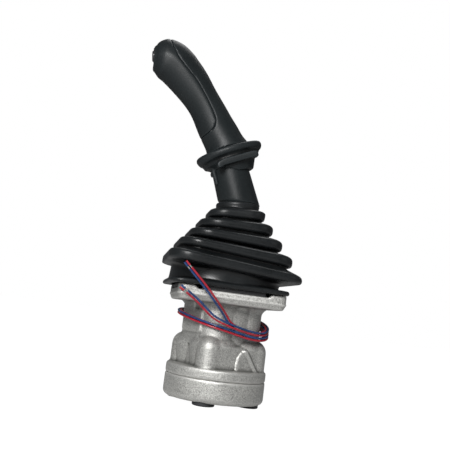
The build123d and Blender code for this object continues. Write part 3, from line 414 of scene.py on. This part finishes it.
for vert in body_casting.data.vertices:
    reach = max(abs(vert.co.x), abs(vert.co.y))
    if reach > DRAFT_REACH and DRAFT_FOOT_Z < vert.co.z < PARTING_Z:
        pull = DRAFT_SLOPE * (PARTING_Z - vert.co.z) / reach
        vert.co.x *= 1 - pull
        vert.co.y *= 1 - pull
    if reach > RIDGE_REACH and abs(vert.co.z - PARTING_Z) < RIDGE_HALF:
        vert.co.x *= 1 + RIDGE_PROUD / reach
        vert.co.y *= 1 + RIDGE_PROUD / reach
body_casting.data.shade_smooth()
measure_relief(body_casting, 14, 1.2 * MM)
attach(body_casting, "valve")
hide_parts("casing", "mounting_flange")
print("body casting:", len(body_casting.data.polygons), "faces")

# %% [markdown]
# The port block is a plain round casting, and its solid already has the right form with too sharp an edge.
# Such a piece needs no pattern: a merged copy of the solid is melted and relaxed in the same way.


# %% A softened copy of a solid
def softened(name, part, voxel, rounds, body):
    """One piece with soft edges, from a merged copy of a CAD part."""
    bm = bmesh.new()
    bm.from_mesh(nodes[part].data)
    bmesh.ops.remove_doubles(bm, verts=bm.verts, dist=LOOSE_CORNERS)
    piece = piece_from(bm, name)
    melt(piece, voxel)
    relax(piece, rounds)
    measure_relief(piece, 12, 1.0 * MM)
    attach(piece, body)
    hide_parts(part)
    print(name, len(piece.data.polygons), "faces")
    return piece


block_casting = softened("block_casting", "port_block", 1.1 * MM, 2, "valve")

# %% [markdown]
# ## The bellows
#
# The boot is one rubber moulding: a flat lip, a nearly round skirt, five square folds that shrink upwards,
# and a tight round neck. Each fold is a fat rolled bead with a sloping roof that ends in a groove.
#
# A lathe can't make it, because the folds are square. So each level is its own closed loop: a circle whose
# four quarters are moved apart, which gives a square with round corners, and the loops are bridged one to
# the next. The lever tilts about two crossed axles, and the boot is made as two meshes, a lower and an upper
# half, that meet in a dark groove.

# %% One level of the bellows
BOOT_SEGMENTS = 64
LIP_SHIFT = -3.4 * MM
FOLD_HALF = [61.0, 52.5, 43.5, 35.0, 27.0]
FOLD_Z = [120.2, 134.4, 146.8, 159.4, 171.4]
FOLD_LEAN = [5.6, 4.2, 1.9, -0.5, -3.4]
BOOT_TOP_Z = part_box("boot")[1][2]
NECK_SHIFT = 1.5 * MM


def between(height, heights, values):
    """A value read off a table of heights, straight between its rows."""
    if height <= heights[0]:
        return values[0]
    for i in range(1, len(heights)):
        if height <= heights[i]:
            share = (height - heights[i - 1]) / (heights[i] - heights[i - 1])
            return values[i - 1] + share * (values[i] - values[i - 1])
    return values[-1]


def lean_at(height):
    """The lower folds droop towards +X, and the neck is pulled down towards -X. Nothing leans at the lip."""
    return radians(between(height, [110.0, 114.5] + FOLD_Z, [0.0, 4.0] + FOLD_LEAN))


def level_loop(bm, half, height, corner, shift=0.0):
    """The edges of one closed rounded square at a height."""
    loop = bmesh.ops.create_circle(bm, segments=BOOT_SEGMENTS, radius=corner)["verts"]
    bmesh.ops.rotate(bm, verts=loop, cent=(0, 0, 0), matrix=Matrix.Rotation(pi / BOOT_SEGMENTS, 3, "Z"))
    quarters = [(x, y, [v for v in loop if v.co.x * x > 0 and v.co.y * y > 0])
                for x in (-1, 1) for y in (-1, 1)]
    for x, y, quarter in quarters:
        bmesh.ops.translate(bm, verts=quarter, vec=(x * (half - corner), y * (half - corner), 0))
    bmesh.ops.translate(bm, verts=loop, vec=(shift, 0, height))
    lean = Matrix.Rotation(lean_at(height / MM), 3, "Y")
    bmesh.ops.rotate(bm, verts=loop, cent=(0, 0, height), matrix=lean)
    return [e for e in bm.edges if e.verts[0] in loop and e.verts[1] in loop]


# %% [markdown]
# The outline of the boot is written as levels of (half side, height, corner radius). The lip and skirt
# are listed once, and every fold repeats the same bead relative to its own nose.

# %% The outline of the bellows
BEAD = [(-4.4, -5.0), (-1.4, -4.5), (-0.2, -3.2), (0.1, -1.0),
        (0.1, 1.2), (-0.5, 2.7), (-2.0, 3.8), (-5.0, 4.7)]
GROOVE_IN = 5.2
FOLD_CORNER = 20.0

lower_levels = [
    (46.0, 100.3, 30.0), (51.6, 100.2, 11.0), (53.3, 100.3, 12.0), (54.0, 101.4, 12.0), (54.0, 102.9, 12.0),
    (53.4, 104.1, 12.0), (52.9, 104.5, 14.0), (52.2, 104.7, 30.0), (51.6, 105.0, 44.0), (51.4, 105.8, 46.0),
    (51.4, 112.6, 46.0), (52.0, 114.4, 45.0), (54.0, 115.2, 38.0), (57.6, 115.3, 26.0), (60.0, 116.0, 21.0)]


def fold_levels(number):
    """The levels of one fold, from under its bead to the groove above it."""
    half, nose_z = FOLD_HALF[number], FOLD_Z[number]
    bead = BEAD if number else BEAD[2:]
    corner = min(FOLD_CORNER, half * 0.62)
    levels = [(half + out, nose_z + up, corner + min(out, 0)) for out, up in bead]
    if number + 1 < len(FOLD_HALF):
        levels.append((FOLD_HALF[number + 1] - GROOVE_IN, FOLD_Z[number + 1] - 6.0, corner - 4.0))
    return levels


SPLIT_AFTER = 2
split_level = fold_levels(SPLIT_AFTER - 1)[-1]
for number in range(SPLIT_AFTER):
    lower_levels += fold_levels(number)
upper_levels = [split_level]
for number in range(SPLIT_AFTER, len(FOLD_HALF)):
    upper_levels += fold_levels(number)
NECK_R, TOP_Z = 20.3, BOOT_TOP_Z / MM
upper_levels += [(NECK_R + 0.4, TOP_Z - 7.0, NECK_R + 0.3), (NECK_R + 0.2, TOP_Z - 5.0, NECK_R + 0.1),
                 (NECK_R + 0.7, TOP_Z - 3.4, NECK_R + 0.6), (NECK_R + 0.7, TOP_Z - 1.6, NECK_R + 0.6),
                 (NECK_R - 0.4, TOP_Z - 0.4, NECK_R - 0.5)]
print("boot levels:", len(lower_levels), "+", len(upper_levels))


# %% Bridge the levels
RUBBER_WALL = 1.8 * MM


def joins_quarters(edge):
    """Whether an edge runs along the straight middle of a side, from one quarter to the next."""
    first, second = [vert.co for vert in edge.verts]
    return first.x * second.x < 0 or first.y * second.y < 0


def bellows_half(name, levels):
    """A rubber shell through the levels, given a wall and smoothed once."""
    bm = bmesh.new()
    below = None
    for half, height, corner in levels:
        shift = between(height, [111.0, 118.0, 172.0, 177.0], [LIP_SHIFT, 0.0, 0.0, NECK_SHIFT])
        loop = level_loop(bm, half * MM, height * MM, corner * MM, shift)
        if below:
            bmesh.ops.bridge_loops(bm, edges=below + loop)
        below = loop
    sides = [edge for edge in bm.edges if joins_quarters(edge)]
    bmesh.ops.subdivide_edges(bm, edges=sides, cuts=6, use_grid_fill=True)
    bmesh.ops.recalc_face_normals(bm, faces=bm.faces)
    half_boot = piece_from(bm, name)
    wall = half_boot.modifiers.new("rubber wall", "SOLIDIFY")
    wall.thickness = RUBBER_WALL
    wall.offset = -1
    smooth = half_boot.modifiers.new("moulded curves", "SUBSURF")
    smooth.levels = smooth.render_levels = 1
    bake_modifiers(half_boot)
    measure_relief(half_boot, 8, 2.4 * MM)
    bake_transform(half_boot)
    return half_boot


lower_boot = bellows_half("lower_bellows", lower_levels)
upper_boot = bellows_half("upper_bellows", upper_levels)
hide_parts("boot")

# %% [markdown]
# ## The grip, its cover, the hand rest and the sleeve
#
# The grip is two moulded half shells, and the hand rest and the sleeve are two more mouldings. Moulded
# plastic has small even radii on all its edges, and where two shells meet, the two radii make a fine dark
# line. The same softening does that, with smaller squares.

# %% Soft plastic mouldings
VOXEL_PLASTIC = 0.8 * MM
grip_back = softened("grip_back", "grip_shell", VOXEL_PLASTIC, 6, "lever")
grip_front = softened("grip_front", "grip_cover", VOXEL_PLASTIC, 6, "lever")
hand_rest = softened("hand_rest", "collar", VOXEL_PLASTIC, 5, "lever")
grip_sleeve = softened("grip_sleeve", "sleeve", VOXEL_PLASTIC, 4, "lever")
horn_bezel = softened("horn_bezel", "button_guide", 0.4 * MM, 2, "lever")
horn_cap = softened("horn_cap", "horn_button", 0.4 * MM, 2, "button")

# %% [markdown]
# A hand-made master is never quite the form that its drawing lofts. The back of the upper grip is a little
# flatter and the chin fuller, and the button's face sits further in. These are sculptor's moves: each one
# pushes the points near a place by an amount that fades out smoothly, and is measured from the grip's own
# middle line. Both shells get the same push, so that their joint stays closed.


# %% The grip's middle line
def fade(value, start, end):
    """0 before start, 1 after end, and a smooth step between them."""
    share = min(max((value - start) / (end - start), 0.0), 1.0)
    return share * share * (3 - 2 * share)


# (x, z, lean of the grip's axis in degrees), from the hand rest to the face
GRIP_LINE = [(-15.6, 235.2, 25), (-25.2, 250.0, 27), (-36.9, 268.5, 32), (-56.0, 292.4, 40),
             (-69.6, 308.0, 51), (-82.4, 316.6, 76), (-92.6, 317.8, 93), (-99.4, 317.6, 96)]


def across_grip(x, z):
    """The direction out of the grip's back, how far a point stands out along it, and its level."""
    best = None
    for (x0, z0, lean0), (x1, z1, lean1) in zip(GRIP_LINE, GRIP_LINE[1:]):
        run_x, run_z = x1 - x0, z1 - z0
        share = ((x - x0) * run_x + (z - z0) * run_z) / (run_x * run_x + run_z * run_z)
        share = min(max(share, 0.0), 1.0)
        near_x, near_z = x0 + share * run_x, z0 + share * run_z
        gap = (x - near_x) ** 2 + (z - near_z) ** 2
        if best is None or gap < best[0]:
            lean = radians(lean0 + share * (lean1 - lean0))
            best = (gap, cos(lean), sin(lean), (x - near_x) * cos(lean) + (z - near_z) * sin(lean), near_z)
    return best[1:]


# %% Sculpt the grip
CHIN_X, CHIN_Z, CHIN_SPREAD = -97, 303, 150
FACE_IN = 3.0


def sculpt_grip(piece):
    """Flatten the back, bring the face in and fill the chin."""
    for vert in piece.data.vertices:
        x, z = vert.co.x / MM, vert.co.z / MM
        out_x, out_z, proud, level = across_grip(x, z)
        over = -(1.6 * fade(level, 244, 262) + 2.8 * fade(level, 288, 312)) * fade(proud, -8, 7)
        chin = exp(-((x - CHIN_X) ** 2 + (z - CHIN_Z) ** 2) / CHIN_SPREAD)
        face = fade(-x, 84, 97)
        vert.co.x += (over * out_x + FACE_IN * face - 0.4 * chin) * MM
        vert.co.z += (over * out_z - 4.6 * chin) * MM
    piece.data.shade_smooth()


# %% Sculpt the hand rest
REST_CENTRE = Vector((-12.0, 0, 229.0)) * MM
REST_LEAN = radians(25.0)
REST_HALF_LENGTH, REST_HALF_WIDTH = 33 * MM, 26 * MM


def sculpt_hand_rest(piece):
    """Let the rim of the oval hang lower than its plate, most of all at its two ends."""
    axis = Vector((-sin(REST_LEAN), 0, cos(REST_LEAN)))
    along = Vector((cos(REST_LEAN), 0, sin(REST_LEAN)))
    readings = []
    for vert in piece.data.vertices:
        place = vert.co - REST_CENTRE
        out = ((place.dot(along) / REST_HALF_LENGTH) ** 2 + (place.y / REST_HALF_WIDTH) ** 2) ** 0.5
        readings.append((place.dot(axis) / MM, place.dot(along) / MM, out))
    for vert, (height, place, out) in zip(piece.data.vertices, readings):
        low = fade(-height, -1.6, 2.2) * fade(out, 0.66, 0.90)
        drop = low * (1.2 + 4.4 * fade(-place, 10, 30) + 2.4 * fade(place, 12, 30))
        vert.co -= axis * (drop * MM)
    piece.data.shade_smooth()


# %% Every sculpted piece
INSERT_IN, INSERT_DOWN = 3.2 * MM, 1.5 * MM

sculpt_grip(grip_back)
sculpt_grip(grip_front)
sculpt_hand_rest(hand_rest)
for insert in (horn_bezel, horn_cap):
    for vert in insert.data.vertices:
        vert.co.x += INSERT_IN
        vert.co.z -= INSERT_DOWN
print("head ends at", round(min(v.co.x for v in grip_front.data.vertices) / MM, 1), "mm")

# %% [markdown]
# ## Finishes
#
# All finishes share one idea: a colour that wanders slowly between two shades, a gloss that wanders with
# it, and a fine grain that only the bump feels. That idea is one node group with named inputs. Each
# material places the group with its own sizes and shades, and keeps its own shader.


# %% A shared surface group
def surface_group():
    group = bpy.data.node_groups.new("wandering_surface", "ShaderNodeTree")
    face = group.interface
    face.new_socket("Vector", in_out="INPUT", socket_type="NodeSocketVector")
    for name, value in (("Patch Scale", 30.0), ("Grain Scale", 900.0), ("Low Roughness", 0.4),
                        ("High Roughness", 0.6), ("Patch Share", 0.3)):
        face.new_socket(name, in_out="INPUT", socket_type="NodeSocketFloat").default_value = value
    for name in ("Colour", "Shade"):
        face.new_socket(name, in_out="INPUT", socket_type="NodeSocketColor")
    face.new_socket("Colour", in_out="OUTPUT", socket_type="NodeSocketColor")
    face.new_socket("Roughness", in_out="OUTPUT", socket_type="NodeSocketFloat")
    face.new_socket("Height", in_out="OUTPUT", socket_type="NodeSocketFloat")
    add, join = group.nodes.new, group.links.new
    given, made = add("NodeGroupInput"), add("NodeGroupOutput")
    patches, grain = add("ShaderNodeTexNoise"), add("ShaderNodeTexNoise")
    patches.inputs["Detail"].default_value = 4.0
    grain.inputs["Detail"].default_value = 3.0
    join(given.outputs["Vector"], patches.inputs["Vector"])
    join(given.outputs["Vector"], grain.inputs["Vector"])
    join(given.outputs["Patch Scale"], patches.inputs["Scale"])
    join(given.outputs["Grain Scale"], grain.inputs["Scale"])
    blend = add("ShaderNodeMix")
    blend.data_type = "FLOAT"
    join(given.outputs["Patch Share"], blend.inputs[0])
    join(grain.outputs["Fac"], blend.inputs[2])
    join(patches.outputs["Fac"], blend.inputs[3])
    spread = add("ShaderNodeMapRange")
    spread.inputs["From Min"].default_value = 0.35
    spread.inputs["From Max"].default_value = 0.65
    join(blend.outputs[0], spread.inputs["Value"])
    tint = add("ShaderNodeMix")
    tint.data_type = "RGBA"
    join(spread.outputs["Result"], tint.inputs["Factor"])
    join(given.outputs["Shade"], tint.inputs[6])
    join(given.outputs["Colour"], tint.inputs[7])
    gloss = add("ShaderNodeMapRange")
    join(spread.outputs["Result"], gloss.inputs["Value"])
    join(given.outputs["Low Roughness"], gloss.inputs["To Min"])
    join(given.outputs["High Roughness"], gloss.inputs["To Max"])
    join(tint.outputs[2], made.inputs["Colour"])
    join(gloss.outputs["Result"], made.inputs["Roughness"])
    join(grain.outputs["Fac"], made.inputs["Height"])
    return group


wandering_surface = surface_group()


# %% A shared group that paints shade into hollows and a highlight onto edges
def shade_and_highlight_group():
    """Paints shade into hollows by darkening them, and paints a highlight onto edges by lightening them."""
    group = bpy.data.node_groups.new("painted_shade_and_highlight", "ShaderNodeTree")
    face = group.interface
    face.new_socket("Relief", in_out="INPUT", socket_type="NodeSocketFloat").default_value = 0.5
    for name in ("Colour", "Painted Shade Colour", "Painted Highlight Colour"):
        face.new_socket(name, in_out="INPUT", socket_type="NodeSocketColor")
    face.new_socket("Colour", in_out="OUTPUT", socket_type="NodeSocketColor")
    add, join = group.nodes.new, group.links.new
    given, made = add("NodeGroupInput"), add("NodeGroupOutput")
    hollow, edge = add("ShaderNodeMapRange"), add("ShaderNodeMapRange")
    for reading, low, high in ((hollow, 0.47, 0.10), (edge, 0.60, 1.0)):
        reading.inputs["From Min"].default_value = low
        reading.inputs["From Max"].default_value = high
        join(given.outputs["Relief"], reading.inputs["Value"])
    # painted shade: hollows are mixed towards a dark colour; painted highlight: edges are mixed towards a
    # light one
    painted_shade_mix, painted_highlight_mix = add("ShaderNodeMix"), add("ShaderNodeMix")
    painted_shade_mix.data_type = painted_highlight_mix.data_type = "RGBA"
    join(hollow.outputs["Result"], painted_shade_mix.inputs["Factor"])
    join(given.outputs["Colour"], painted_shade_mix.inputs[6])
    join(given.outputs["Painted Shade Colour"], painted_shade_mix.inputs[7])
    join(edge.outputs["Result"], painted_highlight_mix.inputs["Factor"])
    join(painted_shade_mix.outputs[2], painted_highlight_mix.inputs[6])
    join(given.outputs["Painted Highlight Colour"], painted_highlight_mix.inputs[7])
    join(painted_highlight_mix.outputs[2], made.inputs["Colour"])
    return group


painted_shade_and_highlight = shade_and_highlight_group()


# %% A material from the group
def finish_of(name, colour, shade, roughness, metallic, patch=30.0, grain=900.0, bump=0.1, share=0.3,
              stretch=(1, 1, 1), shade_and_highlight_colours=None, gloss=0.5):
    """A principled material whose colour, roughness and bump come from the shared group."""
    material = bpy.data.materials.new(name)
    material.use_nodes = True
    tree = material.node_tree
    shader = tree.nodes["Principled BSDF"]
    where = tree.nodes.new("ShaderNodeTexCoord")
    place = tree.nodes.new("ShaderNodeMapping")
    place.inputs["Scale"].default_value = stretch
    surface = tree.nodes.new("ShaderNodeGroup")
    surface.node_tree = wandering_surface
    surface.inputs["Patch Scale"].default_value = patch
    surface.inputs["Grain Scale"].default_value = grain
    surface.inputs["Patch Share"].default_value = share
    surface.inputs["Low Roughness"].default_value = roughness[0]
    surface.inputs["High Roughness"].default_value = roughness[1]
    surface.inputs["Colour"].default_value = (*colour, 1)
    surface.inputs["Shade"].default_value = (*shade, 1)
    relief = tree.nodes.new("ShaderNodeBump")
    relief.inputs["Strength"].default_value = bump
    relief.inputs["Distance"].default_value = 0.0004
    tree.links.new(where.outputs["Object"], place.inputs["Vector"])
    tree.links.new(place.outputs["Vector"], surface.inputs["Vector"])
    # Where these two colours are given, the relief attribute paints shade into hollows and a highlight onto
    # edges.
    if shade_and_highlight_colours:
        reading = tree.nodes.new("ShaderNodeAttribute")
        reading.attribute_name = "relief"
        shade_and_highlight_node = tree.nodes.new("ShaderNodeGroup")
        shade_and_highlight_node.node_tree = painted_shade_and_highlight
        shade_and_highlight_node.inputs["Painted Shade Colour"].default_value = (*shade_and_highlight_colours[0], 1)
        shade_and_highlight_node.inputs["Painted Highlight Colour"].default_value = (*shade_and_highlight_colours[1], 1)
        tree.links.new(reading.outputs["Fac"], shade_and_highlight_node.inputs["Relief"])
        tree.links.new(surface.outputs["Colour"], shade_and_highlight_node.inputs["Colour"])
        tree.links.new(shade_and_highlight_node.outputs["Colour"], shader.inputs["Base Color"])
    else:
        tree.links.new(surface.outputs["Colour"], shader.inputs["Base Color"])
    tree.links.new(surface.outputs["Roughness"], shader.inputs["Roughness"])
    shader.inputs["Specular IOR Level"].default_value = gloss
    tree.links.new(surface.outputs["Height"], relief.inputs["Height"])
    tree.links.new(relief.outputs["Normal"], shader.inputs["Normal"])
    shader.inputs["Metallic"].default_value = metallic
    return material


# %% [markdown]
# Shot-blasted aluminium is only half a mirror: its tiny facets scatter light, so it is given a middling
# metallic value, a rough gloss and a strong fine bump. Rubber and moulded plastic are almost black, and
# what shows of them is their gloss, so the wander of their roughness matters more than their colour.

# %% The finishes, slot by slot
finishes = {
    # The casting's two relief colours are painted shade in its hollows and a painted highlight on its edges.
    "casting": finish_of("sand_cast_aluminium", (0.58, 0.577, 0.55), (0.25, 0.248, 0.235), (0.44, 0.58), 0.7,
                         patch=45, grain=1000, bump=0.7, share=0.16,
                         shade_and_highlight_colours=((0.12, 0.12, 0.11), (0.62, 0.615, 0.59))),
    "plated_steel": finish_of("zinc_plate", (0.58, 0.57, 0.52), (0.44, 0.43, 0.4), (0.25, 0.42), 1.0,
                              patch=60, grain=1500, bump=0.05),
    "ground_steel": finish_of("ground_steel", (0.62, 0.62, 0.62), (0.5, 0.5, 0.5), (0.14, 0.26), 1.0,
                              patch=40, grain=700, bump=0.05, stretch=(1, 1, 12)),
    "spring_steel": finish_of("spring_wire", (0.4, 0.4, 0.4), (0.28, 0.28, 0.29), (0.2, 0.36), 1.0,
                              patch=80, grain=1200, bump=0.05),
    "seat_steel": finish_of("pressed_steel", (0.46, 0.45, 0.43), (0.34, 0.33, 0.32), (0.28, 0.45), 1.0,
                            patch=60, grain=900, bump=0.08),
    "black_plate": finish_of("black_paint", (0.03, 0.03, 0.031), (0.016, 0.016, 0.017), (0.4, 0.6), 0.0,
                             patch=50, grain=800, bump=0.1),
    # The rubber's relief colours paint shade under and between the folds and a highlight along the bead
    # noses.
    "bellows_rubber": finish_of("moulded_rubber", (0.010, 0.0115, 0.0125), (0.005, 0.006, 0.0065),
                                (0.27, 0.43), 0.0, patch=28, grain=700, bump=0.14, share=0.6, gloss=0.3,
                                shade_and_highlight_colours=((0.002, 0.002, 0.002), (0.022, 0.025, 0.027))),
    "seal_rubber": finish_of("nitrile_rubber", (0.02, 0.02, 0.02), (0.012, 0.012, 0.012), (0.4, 0.55), 0.0),
    "bush_bronze": finish_of("sintered_bronze", (0.55, 0.38, 0.18), (0.4, 0.26, 0.12), (0.3, 0.5), 1.0,
                             patch=90, grain=1800, bump=0.1),
    # The grip plastic's relief colours paint shade into its hollows and a highlight onto its edges.
    "grip_plastic": finish_of("satin_black_plastic", (0.0115, 0.0145, 0.0155), (0.0065, 0.0085, 0.0092),
                              (0.34, 0.5), 0.0, patch=22, grain=1000, bump=0.2, share=0.45, gloss=0.22,
                              shade_and_highlight_colours=((0.002, 0.002, 0.002), (0.02, 0.024, 0.026))),
    "bezel_plastic": finish_of("bezel_black", (0.016, 0.016, 0.017), (0.01, 0.01, 0.011), (0.3, 0.45), 0.0),
    "button_plastic": finish_of("button_black", (0.022, 0.022, 0.024), (0.013, 0.013, 0.014),
                                (0.25, 0.4), 0.0),
    "cap_plastic": finish_of("plug_black", (0.024, 0.025, 0.028), (0.015, 0.015, 0.017), (0.38, 0.55), 0.0,
                             patch=40, grain=900, bump=0.15),
    "red_insulation": finish_of("red_vinyl", (0.40, 0.016, 0.034), (0.25, 0.010, 0.022), (0.22, 0.34), 0.0,
                                patch=160, grain=900, bump=0.04, share=0.7),
    "blue_insulation": finish_of("blue_vinyl", (0.016, 0.055, 0.19), (0.008, 0.028, 0.10), (0.22, 0.34), 0.0,
                                 patch=160, grain=900, bump=0.04, share=0.7),
    "tin": finish_of("tinned_strands", (0.8, 0.78, 0.74), (0.62, 0.6, 0.57), (0.2, 0.35), 1.0,
                     patch=200, grain=2500, bump=0.3),
}

# %% Paint every piece
for entry in frame["record"]["subparts"]:
    part = nodes[entry["node"]]
    if not part.material_slots:
        part.data.materials.append(None)
    for place in part.material_slots:
        place.material = finishes[entry["material_slot"]]
for piece, slot in ((body_casting, "casting"), (block_casting, "casting"), (lower_boot, "bellows_rubber"),
                    (upper_boot, "bellows_rubber"), (grip_back, "grip_plastic"), (grip_front, "grip_plastic"),
                    (hand_rest, "grip_plastic"), (grip_sleeve, "grip_plastic"),
                    (horn_bezel, "bezel_plastic"), (horn_cap, "button_plastic")):
    piece.data.materials.clear()
    piece.data.materials.append(finishes[slot])
for name, wire in wire_pieces.items():
    wire.data.materials.append(finishes["red_insulation" if name.startswith("red") else "blue_insulation"])
print("finishes:", len(finishes))

# %% [markdown]
# ## Floor, light and background
#
# The part stands on white, as in a catalogue. The floor and the world are white for the camera alone,
# through Light Path, while the light that falls on the part stays at a plain level, so the casting keeps
# its grey. The floor keeps a little of the part's shadow.

# %% Floor
floor_bm = bmesh.new()
bmesh.ops.create_grid(floor_bm, x_segments=1, y_segments=1, size=6.0)
bmesh.ops.translate(floor_bm, verts=floor_bm.verts, vec=(0, 0, cad_low[2] - 0.1 * MM))
floor = piece_from(floor_bm, "studio_floor")
floor_paint = bpy.data.materials.new("white_floor")
floor_paint.use_nodes = True
floor_nodes, floor_links = floor_paint.node_tree.nodes, floor_paint.node_tree.links
matt = floor_nodes["Principled BSDF"]
matt.inputs["Base Color"].default_value = (0.6, 0.6, 0.6, 1)
matt.inputs["Roughness"].default_value = 0.9
glow = floor_nodes.new("ShaderNodeEmission")
glow.inputs["Color"].default_value = (1, 1, 1, 1)
glow.inputs["Strength"].default_value = 1.17
path = floor_nodes.new("ShaderNodeLightPath")
share = floor_nodes.new("ShaderNodeMath")
share.operation = "MULTIPLY"
share.inputs[1].default_value = 0.85
mixed = floor_nodes.new("ShaderNodeMixShader")
floor_links.new(path.outputs["Is Camera Ray"], share.inputs[0])
floor_links.new(share.outputs[0], mixed.inputs["Fac"])
floor_links.new(matt.outputs["BSDF"], mixed.inputs[1])
floor_links.new(glow.outputs["Emission"], mixed.inputs[2])
floor_links.new(mixed.outputs["Shader"], floor_nodes["Material Output"].inputs["Surface"])
floor.data.materials.append(floor_paint)

# %% World and lamps
world = bpy.data.worlds.new("white_studio")
world.use_nodes = True
world_nodes, world_links = world.node_tree.nodes, world.node_tree.links
seen, lit = world_nodes["Background"], world_nodes.new("ShaderNodeBackground")
seen.inputs["Color"].default_value = (1, 1, 1, 1)
seen.inputs["Strength"].default_value = 1.0
lit.inputs["Color"].default_value = (0.95, 0.97, 1.0, 1)
lit.inputs["Strength"].default_value = 0.13
ray = world_nodes.new("ShaderNodeLightPath")
either = world_nodes.new("ShaderNodeMath")
either.operation = "MAXIMUM"
pick = world_nodes.new("ShaderNodeMixShader")
world_links.new(ray.outputs["Is Camera Ray"], either.inputs[0])
world_links.new(ray.outputs["Is Transmission Ray"], either.inputs[1])
world_links.new(either.outputs[0], pick.inputs["Fac"])
world_links.new(lit.outputs["Background"], pick.inputs[1])
world_links.new(seen.outputs["Background"], pick.inputs[2])
world_links.new(pick.outputs["Shader"], world_nodes["World Output"].inputs["Surface"])
bpy.context.scene.world = world


def soft_box(name, place, size, power):
    """A square area lamp that faces the middle of the valve."""
    lamp = bpy.data.lights.new(name, "AREA")
    lamp.shape = "SQUARE"
    lamp.size = size
    lamp.energy = power
    holder = bpy.data.objects.new(name, lamp)
    bpy.context.scene.collection.objects.link(holder)
    towards = Vector((0, 0, 0.15)) - Vector(place)
    holder.matrix_world = Matrix.Translation(place) @ towards.to_track_quat("-Z", "Y").to_matrix().to_4x4()


soft_box("key_front_left", (-0.5, -1.05, 0.62), 0.45, 20.0)
soft_box("fill_right", (1.1, -0.6, 0.5), 0.7, 0.9)
soft_box("top_strip", (0.1, 0.5, 1.3), 0.7, 4.0)

bpy.context.scene.view_settings.view_transform = "Standard"
